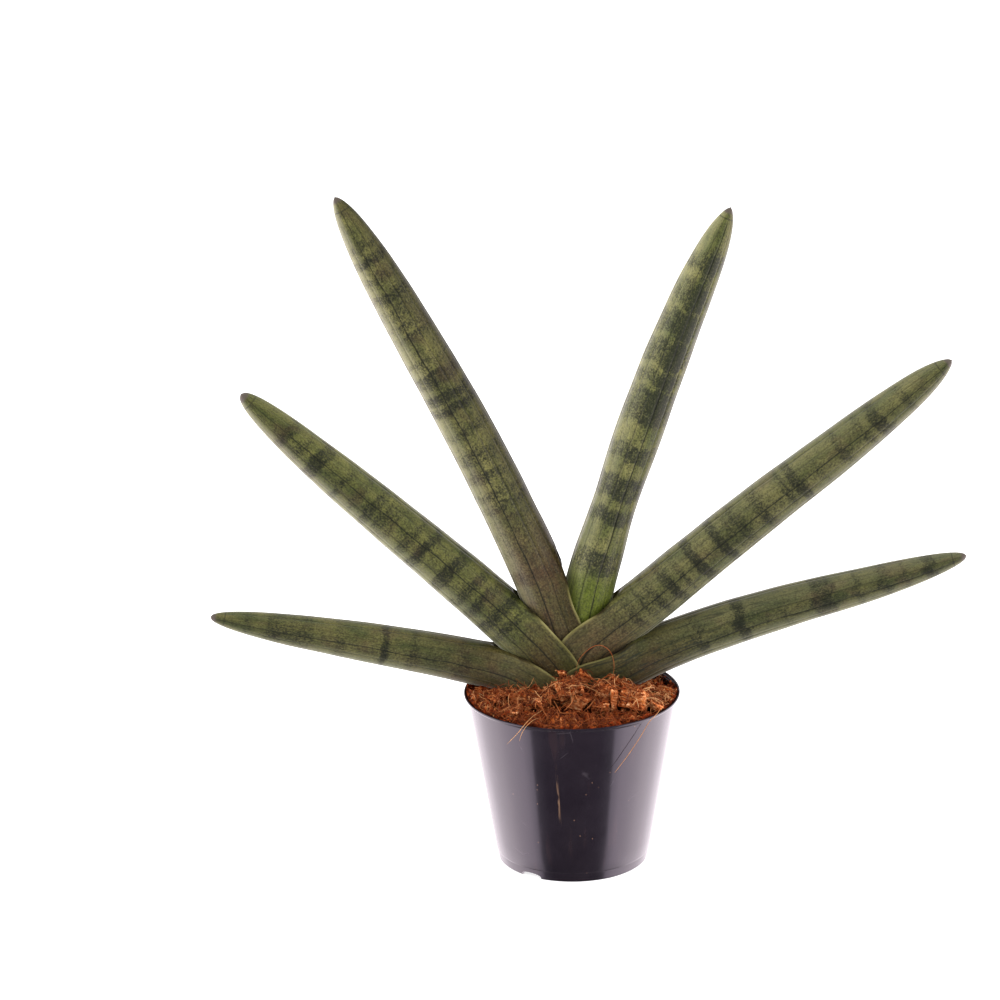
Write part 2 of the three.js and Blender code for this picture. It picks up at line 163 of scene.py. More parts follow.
FURROW_DEPTH = 0.42
FURROW_HALF_ANGLE = 2.4
LIP_RADIUS = 0.8
LIP_START = 141
LIP_END = 159
LIP_TUCK = 1.3
LIP_SQUARENESS = 0.6
SKIN_RADIUS = 16
FURROWS_STOP = 120
THINNEST_FURROWED = 0.8
SMOOTH_SHEATH = 0.3
LEAF_WELD = 0.002
WAIST_PLACE = 176
WAIST_SPREAD = 26
SWAY = 0.3
SWAY_LENGTH = 22

# What changes near the end of a leaf's opening, from where to where, in mm past it.
CLASP_ENDS = (-5, 14)
GATHER_ENDS = (4, 34)
FRONT_MARGIN_RUNS_OUT = (-8, 11)
BACK_DROP_STARTS = (-35, -10)
BACK_DROP_LESSENS = (-14, 4)
BACK_MARGIN_DROP = 5
BACK_MARGIN_END_DROP = 4
MARGIN_SMOOTHING = (-5, -2.5, 0, 2.5, 5)
GATHER_START = 130
GATHER_POWER = 1.8

LEAVES = [
    {
        "name": "leaf_high_right", "leans": 1, "seed": 3, "furrow_turn": 3,
        "path": [(2, 8, 84), (5.7, 8, 127.1), (12.1, 8.1, 163.2),
                 (34.1, 8.8, 233.8), (58.9, 10.1, 301.8), (87.6, 12, 369.1)],
        "full": 31, "taper": 32.8, "bluntness": 0.72, "waist": 0.11,
        "base_width": 15, "clasp": 9.5, "clasp_end": 38, "clasp_fade": 62,
        "margin": [(20, 8), (40, 9)],
        "bands": [(13, 17, 0.4), (28, 36, 0.7), (45, 57, 0.65), (62, 74, 0.75), (79, 92, 0.75), (97, 103, 0.7),
                  (108, 126, 0.8), (140, 148, 0.75), (159, 171, 0.85), (179, 185, 0.85), (203, 216, 0.75)],
        "stripe": (16, 128, -0.12, 0.66, 0.42), "sides": (0.2, -0.3),
        "between": 0.3, "light": "#6D6A3B", "mid": "#4C5127", "dark": "#2A2E1C",
        "brown": 0.0, "fresh": (72, 90, 0.88), "fresh_colour": "#545F16", "lip": 0.8, "dashes": 0.35,
    },
    {
        "name": "leaf_high_left", "leans": -1, "seed": 11, "furrow_turn": 9,
        "path": [(1, 8, 84), (-6.5, 8, 127.5), (-19.2, 7.9, 167.6),
                 (-51.8, 7.1, 240.3), (-88.3, 5.8, 311.2), (-124.7, 4, 379.6)],
        "full": 33.5, "taper": 49, "bluntness": 0.65, "waist": 0,
        "base_width": 21, "clasp": 11.8, "clasp_end": 42, "clasp_fade": 36,
        "margin": [(51.5, 14.4), (63.6, 12.3), (78.8, 14.7)],
        "bands": [(28, 31, 0.6), (36, 40, 0.8), (47, 50, 0.6), (58, 63, 0.7), (66, 73, 0.55), (77, 80, 0.6),
                  (83, 87, 0.6), (100, 103, 0.6), (109, 115, 0.8), (121, 126, 0.85), (129, 133, 0.85),
                  (145, 148, 0.6), (158, 165, 0.65), (172, 176, 0.65), (184, 187, 0.6), (191, 195, 0.65),
                  (200, 233, 0.5), (235, 240, 0.8)],
        "sides": (-0.74, 0.42), "between": 0.35, "light": "#6C6738", "mid": "#4F5028", "dark": "#242617",
        "brown": 0.95, "brown_colour": "#4C3A25", "brown_reach": (82, 138), "brown_side": 0.0,
        "fresh": (52, 66, 0.1), "fresh_colour": "#2C301A", "lip": 1.0, "dashes": 0.5,
    },
    {
        "name": "leaf_mid_right", "leans": 1, "seed": 23, "furrow_turn": -10,
        "path": [(4, 8, 84), (8.5, 8, 117.5), (43.8, 7.7, 148.7),
                 (97.5, 6.7, 194.5), (154.4, 4.7, 240.8), (207.1, 2, 285)],
        "full": 33.1, "taper": 47.5, "bluntness": 0.63, "waist": 0,
        "base_width": 24, "clasp": 14.1, "clasp_end": 40, "clasp_fade": 32,
        "margin": [(36.8, 18.3), (47.6, 15.9), (59.1, 14.1)],
        "bands": [(31, 34, 0.6), (48, 54, 0.75), (60, 63, 0.6), (75, 79, 0.6), (92, 94, 0.5), (105, 109, 0.8),
                  (113, 115, 0.6), (128, 134, 0.65), (143, 148, 0.65), (151, 153, 0.6), (158, 162, 0.9),
                  (175, 179, 0.9), (187, 189, 0.6), (195, 199, 0.8), (206, 209, 0.65), (214, 216, 0.6),
                  (222, 225, 0.6), (231, 234, 0.5)],
        "sides": (0.06, 0.14), "between": 0.3, "light": "#59562F", "mid": "#3F4321", "dark": "#222415",
        "brown": 0.95, "brown_colour": "#503826", "brown_reach": (40, 78), "brown_side": 0.6,
        "fresh": (8, 24, 0.45), "fresh_colour": "#33241A", "lip": 1.0, "dashes": 0.5,
    },
    {
        "name": "leaf_mid_left", "leans": -1, "seed": 31, "furrow_turn": -1,
        "path": [(-1, 8, 84), (-14.1, 8, 114.9), (-45.7, 8.2, 147.4),
                 (-89.9, 9.1, 187.7), (-134.9, 10.7, 227.6), (-179.1, 13, 267.7)],
        "full": 38.1, "taper": 134, "bluntness": 0.45, "waist": 0,
        "base_width": 27, "clasp": 16.4, "clasp_end": 30, "clasp_fade": 44,
        "margin": [(33, 16), (41, 15), (50.2, 15.6), (61.6, 15.9)],
        "bands": [(31, 35, 0.75), (43, 45, 0.6), (52, 59, 0.8), (72, 75, 0.65), (84, 86, 0.55),
                  (93, 97, 0.7), (100, 110, 0.55), (120, 123, 0.6), (129, 133, 0.85), (147, 153, 0.8),
                  (163, 167, 0.7), (173, 177, 0.7), (184, 189, 0.75), (194, 197, 0.7)],
        "sides": (-0.02, 0.38), "between": 0.3, "light": "#5B5A2C", "mid": "#3F4420", "dark": "#212414",
        "brown": 0.95, "brown_colour": "#3A2714", "brown_reach": (34, 62), "brown_side": 0.4,
        "fresh": (28, 45, 0.1), "fresh_colour": "#232612", "lip": 1.0, "dashes": 0.4,
    },
    {
        "name": "leaf_low_right", "leans": 1, "seed": 47, "furrow_turn": 5,
        "path": [(5.5, 8, 84), (17.1, 8, 103.2), (61.8, 8.3, 123.8),
                 (114.3, 9.6, 140.8), (167.6, 11.9, 154.4), (219.3, 15, 168.4)],
        "full": 36.4, "taper": 139, "bluntness": 0.5, "waist": 0,
        "base_width": 31, "clasp": 18.7, "clasp_end": 24, "clasp_fade": 40,
        "margin": [(24.1, 23), (28.6, 17.7), (35.3, 13.1), (43.6, 12.1)],
        "bands": [(19, 24, 0.75), (35, 37, 0.6), (45, 50, 0.6), (62, 64, 0.6), (77, 88, 0.75), (103, 107, 0.4),
                  (127, 132, 0.8), (152, 156, 0.6)],
        "sides": (0.08, 0.3), "between": 0.25, "light": "#4D4B27", "mid": "#353A1D", "dark": "#1D2012",
        "brown": 0.9, "brown_colour": "#35220F", "brown_reach": (42, 90), "brown_side": 0.8,
        "fresh": (28, 42, 0.05), "fresh_colour": "#1C1F0F", "lip": 0.4, "dashes": 1.0,
    },
    {
        "name": "leaf_low_left", "leans": -1, "seed": 59, "furrow_turn": -13,
        "path": [(-1.5, 8, 84), (-26.9, 8, 104.3), (-58.4, 7.7, 113.3),
                 (-105.9, 6.5, 123.8), (-151.6, 4.3, 133.2), (-199.3, 1, 143.3)],
        "full": 35.2, "taper": 134, "bluntness": 0.5, "waist": 0,
        "base_width": 36, "clasp": 21, "clasp_end": 22, "clasp_fade": 38,
        "margin": [(28.9, 15.1), (36.2, 14), (41.3, 14.1)],
        "bands": [(20, 22, 0.5), (32, 38, 0.65), (40, 50, 0.55), (52, 56, 0.6), (70, 75, 0.5), (96, 99, 0.9),
                  (112, 116, 0.6), (140, 145, 0.6)],
        "sides": (-0.01, 0.3), "between": 0.28, "light": "#54512A", "mid": "#3C4121", "dark": "#1F2214",
        "brown": 0.85, "brown_colour": "#412B1C", "brown_reach": (55, 115), "brown_side": 1.0,
        "fresh": (26, 40, 0.05), "fresh_colour": "#1F2311", "lip": 0.6, "dashes": 0.4,
    },
]


def linear(hex_colour):
    """An sRGB hex colour as linear RGBA."""
    parts = [int(hex_colour[i:i + 2], 16) / 255 for i in (1, 3, 5)]
    return tuple(p / 12.92 if p <= 0.04045 else ((p + 0.055) / 1.055) ** 2.4 for p in parts) + (1,)


def mix(a, b, share):
    return a + (b - a) * share


def ease(value, start, end):
    share = min(1, max(0, (value - start) / (end - start)))
    return share * share * (3 - 2 * share)


def add_node(tree, kind, inputs=(), operation=None, ramp=(), **settings):
    """Adds one shader node with its settings and links. Inputs go to sockets by name, or in order to those in use.
    Each is a value, a socket, or a node, which stands for its first output in use. A ramp lists places and colours."""
    made = tree.nodes.new("ShaderNode" + kind)
    if operation:
        made.operation = operation
    for name, value in settings.items():
        setattr(made, name, value)
    if not isinstance(inputs, dict):
        inputs = dict(zip((i for i, socket in enumerate(made.inputs) if socket.enabled), inputs))
    for key, value in inputs.items():
        if isinstance(value, bpy.types.Node):
            value = next(socket for socket in value.outputs if socket.enabled)
        if isinstance(value, bpy.types.NodeSocket):
            tree.links.new(value, made.inputs[key])
        else:
            made.inputs[key].default_value = value
    for i, (place, colour) in enumerate(ramp):
        stop = made.color_ramp.elements[i] if i < 2 else made.color_ramp.elements.new(place)
        stop.position = place
        stop.color = linear(colour) if isinstance(colour, str) else (*colour, 1)
    return made


def new_material(name):
    """An empty material, and the function that adds nodes to it."""
    material = bpy.data.materials.new(name)
    material.use_nodes = True
    material.node_tree.nodes.clear()
    return material, partial(add_node, material.node_tree)


def new_object(name, data):
    made = bpy.data.objects.new(name, data)
    bpy.context.scene.collection.objects.link(made)
    return made


def bake_mesh(name, bm):
    """Turns a bmesh into a mesh and frees it."""
    mesh = bpy.data.meshes.new(name)
    bm.to_mesh(mesh)
    bm.free()
    return mesh


def finish_piece(name, bm, material, replaces=None, smooth=True):
    """Turns a bmesh into a piece of the plant that rides on the one body."""
    mesh = bake_mesh(name, bm)
    if smooth:
        mesh.shade_smooth()
    mesh.materials.append(material)
    piece = new_object(name, mesh)
    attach(piece, "root")
    if replaces:
        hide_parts(replaces)
    return piece


# ---------------------------------------------------------------- camera, light and floor

VIEW_TARGET = Vector((-0.038479, 0, 0.209262))
VIEW_DISTANCE = 2.2
VIEW_ELEVATION = math.radians(18.1205)
VIEW_ROLL = math.radians(-0.7647)
LENS = 144.89
SENSOR_WIDTH = 36
CLIP_START, CLIP_END = 0.05, 50

PANELS = {"left_panel": ((-1.15, -0.5, 0.7), (0, 0, 0.15), (0.9, 1.2)),
          "right_panel": ((1.15, -0.5, 0.7), (0, 0, 0.15), (0.9, 1.2)),
          "top_panel": ((0, -0.1, 1.5), (0, 0, 0.1), (1.2, 1.0))}
PANEL_WATTS = 10

# Brightness round the room, from the front, at 0, past the sides, at 0.5, to the back, at 1: as the gloss sees it,
# and as it lights the rest.
GLOSS_ROOM = [(0, (0.12, 0.08, 0.1)), (0.09, (0.17, 0.13, 0.17)), (0.17, (0.5, 0.44, 0.52)),
              (0.19, (1, 0.86, 1.04)), (0.206, (2.4, 2.06, 2.5)), (0.3, (3.6, 3.05, 3.6)),
              (0.6, (4.2, 3.65, 4.05)), (0.88, (3.3, 2.95, 3.2)), (1, (2, 1.85, 1.95))]
LIGHT_ROOM = [(0, (0.8, 0.8, 0.8)), (0.25, (1, 1, 1)), (0.5, (1.5, 1.5, 1.5)), (1, (1.5, 1.5, 1.5))]


def set_camera():
    data = bpy.data.cameras.new("view")
    data.sensor_fit = "HORIZONTAL"
    data.sensor_width = SENSOR_WIDTH
    data.lens = LENS
    data.clip_start, data.clip_end = CLIP_START, CLIP_END
    camera = new_object("view", data)
    forward = Vector((0, math.cos(VIEW_ELEVATION), -math.sin(VIEW_ELEVATION)))
    right = Vector((1, 0, 0))
    up = Vector((0, math.sin(VIEW_ELEVATION), math.cos(VIEW_ELEVATION)))
    side = right * math.cos(VIEW_ROLL) + up * math.sin(VIEW_ROLL)
    top = up * math.cos(VIEW_ROLL) - right * math.sin(VIEW_ROLL)
    turn = Matrix((side, top, -forward)).transposed().to_4x4()
    camera.matrix_world = Matrix.Translation(VIEW_TARGET - forward * VIEW_DISTANCE) @ turn
    bpy.context.scene.camera = camera


def light_studio():
    """A white cove with large lit panels to the left and the right, and a dark gap at the front between them."""
    for name, (place, aim, size) in PANELS.items():
        data = bpy.data.lights.new(name, "AREA")
        data.shape = "RECTANGLE"
        data.size, data.size_y = size
        data.energy = PANEL_WATTS
        lamp = new_object(name, data)
        lamp.location = place
        lamp.rotation_euler = (Vector(aim) - Vector(place)).to_track_quat("-Z", "Y").to_euler()
        lamp.visible_glossy = False

    world = bpy.data.worlds.new("cove")
    bpy.context.scene.world = world
    world.use_nodes = True
    world.node_tree.nodes.clear()
    add = partial(add_node, world.node_tree)
    sky = add("TexCoord").outputs["Generated"]
    turned = add("VectorRotate", {"Vector": sky, "Angle": math.radians(0.3)}, rotation_type="Z_AXIS")
    flat = add("VectorMath", [turned, (1, 1, 0)], "MULTIPLY")
    level = add("VectorMath", [flat], "NORMALIZE")
    to_back = add("MapRange", [add("SeparateXYZ", [level]).outputs["Y"], -1, 1])
    height = add("SeparateXYZ", [sky]).outputs["Z"]
    ceiling = add("MapRange", [height, 0, 0.28, 1, 0.2])
    table = add("MapRange", [height, -0.86, -0.66, 0.12, 1])
    share = add("Math", [ceiling, table], "MULTIPLY")
    gloss = add("VectorMath", [add("ValToRGB", [to_back], ramp=GLOSS_ROOM), share], "SCALE")
    ray = add("LightPath").outputs
    lit = add("Mix", [ray["Is Glossy Ray"], add("ValToRGB", [to_back], ramp=LIGHT_ROOM), gloss], **COLOURS)
    seen = add("Mix", [ray["Is Camera Ray"], lit, (1, 1, 1, 1)], **COLOURS)
    add("OutputWorld", [add("Background", [seen, 1])])


def floor_paper():
    """Matte white paper on a light table, with a faint tooth."""
    material, add = new_material("lit_paper")
    tooth = add("TexNoise", {"Vector": add("TexCoord").outputs["Object"], "Scale": scale_for(1.11111), "Detail": 2})
    add("OutputMaterial", [add("BsdfPrincipled", {
        "Base Color": add("ValToRGB", [tooth], ramp=[(0, "#D2D2D2"), (1, "#DCDCDC")]),
        "Roughness": 0.95, "IOR": 1.3, "Emission Color": (1, 1, 1, 1), "Emission Strength": 0.75,
    })])
    return material


def lay_floor():
    bm = bmesh.new()
    bmesh.ops.create_grid(bm, x_segments=8, y_segments=8, size=6)
    floor = new_object("floor", bake_mesh("floor", bm))
    floor.data.materials.append(floor_paper())
    floor.visible_glossy = False


# ---------------------------------------------------------------- materials

def scale_for(size):
    """The scale of a pattern whose features have a real size in mm."""
    return 1 / (size * MM)


def band_curve(add, place, leaf, length):
    """Reads how dark the leaf's bands are at a distance from the tip. Both lengths are in metres."""
    curve = add("FloatCurve", [1, add("Math", [place, length], "DIVIDE")])
    between = leaf["between"]
    marks = [(1, between + 0.1)]
    for start, end, darkness in leaf["bands"]:
        for mm, level in ((start - 2.2, between), (start + 0.3, darkness), (end - 0.3, darkness), (end + 2.2, between)):
            if mm > marks[-1][0] + 0.2:
                marks.append((mm, level))
            else:
                marks[-1] = (marks[-1][0], max(level, marks[-1][1]))
    line = curve.mapping.curves[0]
    line.points[0].location = (0, between + 0.1)
    line.points[1].location = (1, between)
    for mm, level in marks:
        line.points.new(mm * MM / length, level)
    for point in line.points:
        point.handle_type = "VECTOR"
    curve.mapping.update()
    return curve


# Patterns in a leaf's skin: how each is stretched across and along the leaf (below 1 is longer), the size of its
# features in mm, its detail and its roughness. Grains and flecks are drawn coarser than real ones, so that they show.
SKIN_PATTERNS = [
    ((0.5, 0.5, 1.5), 7.69231, 5, 0.66),  # blotches that tear the bands
    ((0.8, 0.8, 0.8), 0.869565, 2, 0.6),  # grains
    ((1, 1, 0.6), 11.7647, 4, 0.6),  # drifts of paler ground
    ((1, 1, 0.04), 1, 2, 0.6),  # veins
    ((0.8, 0.8, 0.6), 0.666667, 1, 0.5),  # pale flecks
    ((1, 1, 0.1), 1.25, 1, 0.5),  # dashes along the veins
    ((1, 1, 0.45), 3.84615, 3, 0.7),  # where the furrows are strong
]
SEED_SHIFT, SEED_KEY = 0.37, 7.3
SMOOTH = {"interpolation_type": "SMOOTHSTEP"}
COLOURS = {"data_type": "RGBA"}


def leaf_skin(leaf, length):
    """Waxy epidermis of a snake plant: satin, olive, with ragged dark bands that break at each furrow,
    a fine pale stipple between the veins, painted shade on its flat faces, and a painted pale sheen or painted shade
    towards the margins or the keel."""
    material, add = new_material(leaf["name"] + "_skin")
    seed = leaf["seed"]
    split = add("SeparateXYZ", [add("UVMap", uv_map="skin")]).outputs
    around, from_tip = split["X"], split["Y"]
    from_crown = add("Math", [length, from_tip], "SUBTRACT")
    angle = add("Math", [around, math.tau], "MULTIPLY")
    cosine = add("Math", [angle], "COSINE")  # 1 on the keel, -1 between the margins
    flesh = add("CombineXYZ", {
        "X": add("Math", [cosine, SKIN_RADIUS * MM], "MULTIPLY"),
        "Y": add("Math", [add("Math", [angle], "SINE"), SKIN_RADIUS * MM], "MULTIPLY"),
        "Z": add("Math", [from_tip, seed * SEED_SHIFT], "ADD"),
    })
    blotch, grain, drift, streaks, flecks, dashes, line_luck = [
        add("TexNoise", {"Vector": add("VectorMath", [flesh, stretch], "MULTIPLY"),
                         "Scale": scale_for(size), "Detail": detail, "Roughness": roughness})
        for stretch, size, detail, roughness in SKIN_PATTERNS]
    wander = add("TexNoise", {"Vector": flesh, "Scale": scale_for(22.2222), "Detail": 1})
    blotted = add("TexNoise", {"Vector": flesh, "Scale": scale_for(18.1818), "Detail": 3, "Roughness": 0.55})

    # Strips of skin between the furrows.
    first = 0.5 + leaf["furrow_turn"] / FURROW_SPACING
    bent = add("Math", [wander, 0.3, -first - 0.15], "MULTIPLY_ADD")
    strips = add("Math", [around, FURROWS, bent], "MULTIPLY_ADD")
    strip = add("Math", [add("Math", [strips], "FLOOR"), FURROWS, 0], "WRAP")
    strip_key = add("Math", [strip, seed * SEED_KEY], "ADD")
    strip_luck = add("TexWhiteNoise", {"W": strip_key}, noise_dimensions="1D")
    near_edge = add("Math", [add("Math", [strips], "FRACT"), 0.5], "PINGPONG")
    from_furrow = add("Math", [near_edge, STRIP_WIDTH], "MULTIPLY")

    # Dark bands, shifted from strip to strip, with edges that break up into grains about 1 mm long.
    slip = add("Math", [strip_luck, 2.6 * MM, -1.3 * MM], "MULTIPLY_ADD")
    tear = add("Math", [blotch, 4 * MM, slip], "MULTIPLY_ADD")
    centred = add("Math", [tear, 2 * MM], "SUBTRACT")
    bands = band_curve(add, add("Math", [from_tip, centred], "ADD"), leaf, length)
    if "stripe" in leaf:
        start, end, low, high, most = leaf["stripe"]
        along = add("MapRange", [from_tip, start * MM, (start + 12) * MM, 0, most], **SMOOTH)
        stop = add("MapRange", [from_tip, end * MM, (end - 15) * MM], **SMOOTH)
        over = add("MapRange", [cosine, low, low + 0.12], **SMOOTH)
        under = add("MapRange", [cosine, high, high - 0.12], **SMOOTH)
        whole = add("Math", [along, stop], "MULTIPLY")
        across = add("Math", [over, under], "MULTIPLY")
        bands = add("Math", [whole, across, bands], "MULTIPLY_ADD")
    # Painted shade: the flat faces between the keel and the margins are made darker.
    flank = add("Math", [cosine], "ABSOLUTE")
    painted_face_shade = add("MapRange", [flank, 0.75, 0.2, 0, 0.16])
    bands_and_face_shade = add("Math", [bands, 0.85, painted_face_shade], "MULTIPLY_ADD")
    wash = add("Math", [blotch, 0.75, bands_and_face_shade], "MULTIPLY_ADD")
    peppered = add("Math", [grain, 1.6, wash], "MULTIPLY_ADD")
    stipple = add("MapRange", [peppered, 1.49, 2.1], **SMOOTH)
    soft = add("Math", [add("MapRange", [wash, 0.58, 1.24], **SMOOTH), 0.38], "MULTIPLY")
    darkness = add("Math", [stipple, 0.6, soft], "MULTIPLY_ADD")

    # Olive ground between the bands, paler in drifts, a brown blush in patches, and flesh of its own colour
    # towards the crown: brown, then fresh.
    skin = add("ValToRGB", [drift], ramp=[(0.36, leaf["mid"]), (0.62, leaf["light"])])
    blush = add("MapRange", [blotted, 0.52, 0.68, 0, 0.32 if leaf["brown"] else 0.08], **SMOOTH)
    layers = [(darkness, leaf["dark"]), (blush, "#4A3827")]
    if leaf["brown"]:
        low, high = leaf["brown_reach"]
        amount = add("MapRange", [from_crown, high * MM, low * MM], **SMOOTH)
        for share in (add("MapRange", [cosine, -0.6, 0.7, 1 - leaf["brown_side"] * 0.6, 1]),
                      add("MapRange", [drift, 0.4, 0.6, 0.5, 1]), leaf["brown"]):
            amount = add("Math", [amount, share], "MULTIPLY")
        layers.append((amount, leaf["brown_colour"]))
    low, high, most = leaf["fresh"]
    ragged_end = add("Math", [blotch, 8 * MM, from_crown], "MULTIPLY_ADD")
    fresh = add("MapRange", [ragged_end, (high + 4) * MM, (low + 4) * MM, 0, most], **SMOOTH)
    for amount, colour in layers + [(fresh, leaf["fresh_colour"])]:
        skin = add("Mix", [amount, skin, linear(colour)], **COLOURS)

    # Veins, and painted light on the leaf's sides: painted shade darkens some, and a painted pale sheen lightens
    # others.
    painted_margin_light, painted_keel_light = leaf["sides"]
    vein_tone = add("MapRange", [streaks, 0.32, 0.68, 0.86, 1.1])
    grain_tone = add("MapRange", [grain, 0.3, 0.7, 1.46, 0.6])
    painted_shade_to_margin = add("MapRange", [cosine, -0.2, -0.95, 0.88, 1 + min(0, painted_margin_light)])
    painted_shade_to_keel = add("MapRange", [cosine, 0.2, 0.95, 1, 1 + min(0, painted_keel_light)])
    painted_side_shade = add("Math", [painted_shade_to_margin, painted_shade_to_keel], "MULTIPLY")
    fine = add("Math", [vein_tone, grain_tone], "MULTIPLY")
    tone = add("Math", [fine, painted_side_shade], "MULTIPLY")
    skin = add("VectorMath", [skin, tone], "SCALE")
    # Painted sheen: a pale colour laid over the sides, less over the dark bands and near the crown.
    painted_sheen_margin = add("MapRange", [cosine, -0.2, -0.95, 0, max(0, painted_margin_light)])
    painted_sheen_keel = add("MapRange", [cosine, 0.25, 0.95, 0, max(0, painted_keel_light)])
    painted_sheen = add("Math", [painted_sheen_margin, painted_sheen_keel], "ADD")
    for share in (add("MapRange", [darkness, 0, 1, 1.25, 0.3]),
                  add("MapRange", [from_crown, 45 * MM, 105 * MM, 0.08, 1], **SMOOTH)):
        painted_sheen = add("Math", [painted_sheen, share], "MULTIPLY")

    # Pale flecks, and dark dashes along the veins, most of all near the crown.
    fleck = add("MapRange", [flecks, 0.58, 0.68, 0, 0.15], **SMOOTH)
    dash_zone = add("MapRange", [from_crown, 150 * MM, 60 * MM, 0.15, leaf["dashes"] * 0.75])
    dash = add("Math", [add("MapRange", [dashes, 0.57, 0.64], **SMOOTH), dash_zone], "MULTIPLY")

    # Furrows: thin dark lines, stronger in some places than in others, and one main furrow.
    line_width = add("MapRange", [line_luck, 0.36, 0.62, 0.32, 0.9])
    line = add("MapRange", [from_furrow, line_width, 0.05], **SMOOTH)
    nearest = add("Math", [strips], "ROUND")
    furrow_luck = add("TexWhiteNoise", {"W": nearest}, noise_dimensions="1D")
    main_furrow = round((MAIN_FURROW_TURN - leaf["furrow_turn"]) / FURROW_SPACING)
    is_main = add("Math", [nearest, main_furrow, 0.5], "COMPARE")
    faint = add("MapRange", [furrow_luck, 0, 1, 0.3, 0.68])
    strength = add("Math", [faint, is_main], "MAXIMUM")
    furrow = add("Math", [add("Math", [line, 0.88], "MULTIPLY"), strength], "MULTIPLY")

    # Pale horny margins of the clasping part, and a painted shadow in the dull corner where they part.
    from_top = add("Math", [add("Math", [around, 0.5], "SUBTRACT")], "ABSOLUTE")
    on_top = add("MapRange", [from_top, 0.12, 0.1], **SMOOTH)
    top = leaf["margin"][-1][0] * MM
    clasping = add("MapRange", [from_crown, top, top - 10 * MM, 0, leaf["lip"]], **SMOOTH)
    margin = add("Math", [on_top, clasping], "MULTIPLY")
    margin_tone = add("ValToRGB", [drift], ramp=[(0.35, "#5A5530"), (0.65, "#7F784F")])
    below = add("MapRange", [from_crown, top + 6 * MM, top - 1 * MM], **SMOOTH)
    above = add("MapRange", [from_crown, top - 9 * MM, top - 1 * MM], **SMOOTH)
    painted_corner_shadow = add("Math", [below, above], "MULTIPLY")
    for share in (on_top, 0.85):
        painted_corner_shadow = add("Math", [painted_corner_shadow, share], "MULTIPLY")
    dull_reach = add("MapRange", [from_crown, top + 20 * MM, top + 8 * MM], **SMOOTH)
    dull = add("Math", [dull_reach, on_top], "MULTIPLY")
    waxy = add("Math", [painted_side_shade, dull], "SUBTRACT", use_clamp=True)

    # The dried point of the leaf, and the thin ring a little below it.
    from_ring = add("Math", [from_tip, (6 + seed % 3) * MM], "SUBTRACT")
    ring = add("MapRange", [add("Math", [from_ring], "ABSOLUTE"), 0.5 * MM, 0.15 * MM, 0, 0.6])
    tip_noise = add("Math", [blotch, 3 * MM, from_tip], "MULTIPLY_ADD")
    dry = add("MapRange", [tip_noise, 5.5 * MM, 3.8 * MM], **SMOOTH)

    # Painted light goes on with the skin's own marks: the pale sheen and the shadow in the corner.
    for amount, colour in ((painted_sheen, "#A5A283"), (fleck, "#7D795A"), (dash, "#20251B"), (furrow, "#12150E"),
                           (margin, margin_tone), (painted_corner_shadow, "#1B150E"), (ring, "#1C1D14"), (dry, "#4A423A")):
        over = linear(colour) if isinstance(colour, str) else colour
        skin = add("Mix", [amount, skin, over], **COLOURS)
    relief = add("Math", [streaks, 0.8, grain], "MULTIPLY_ADD")
    add("OutputMaterial", [add("BsdfPrincipled", {
        "Base Color": skin, "Roughness": add("MapRange", [drift, 0.3, 0.7, 0.38, 0.5]), "IOR": 1.45,
        "Specular IOR Level": add("MapRange", [waxy, 0, 1, 0.02, 0.38]),
        "Sheen Weight": add("MapRange", [waxy, 0, 1, 0, 0.52]), "Sheen Roughness": 0.35,
        "Sheen Tint": linear("#F4F2E4"),
        "Normal": add("Bump", {"Height": relief, "Strength": 0.4, "Distance": 0.15 * MM}),
    })])
    return material


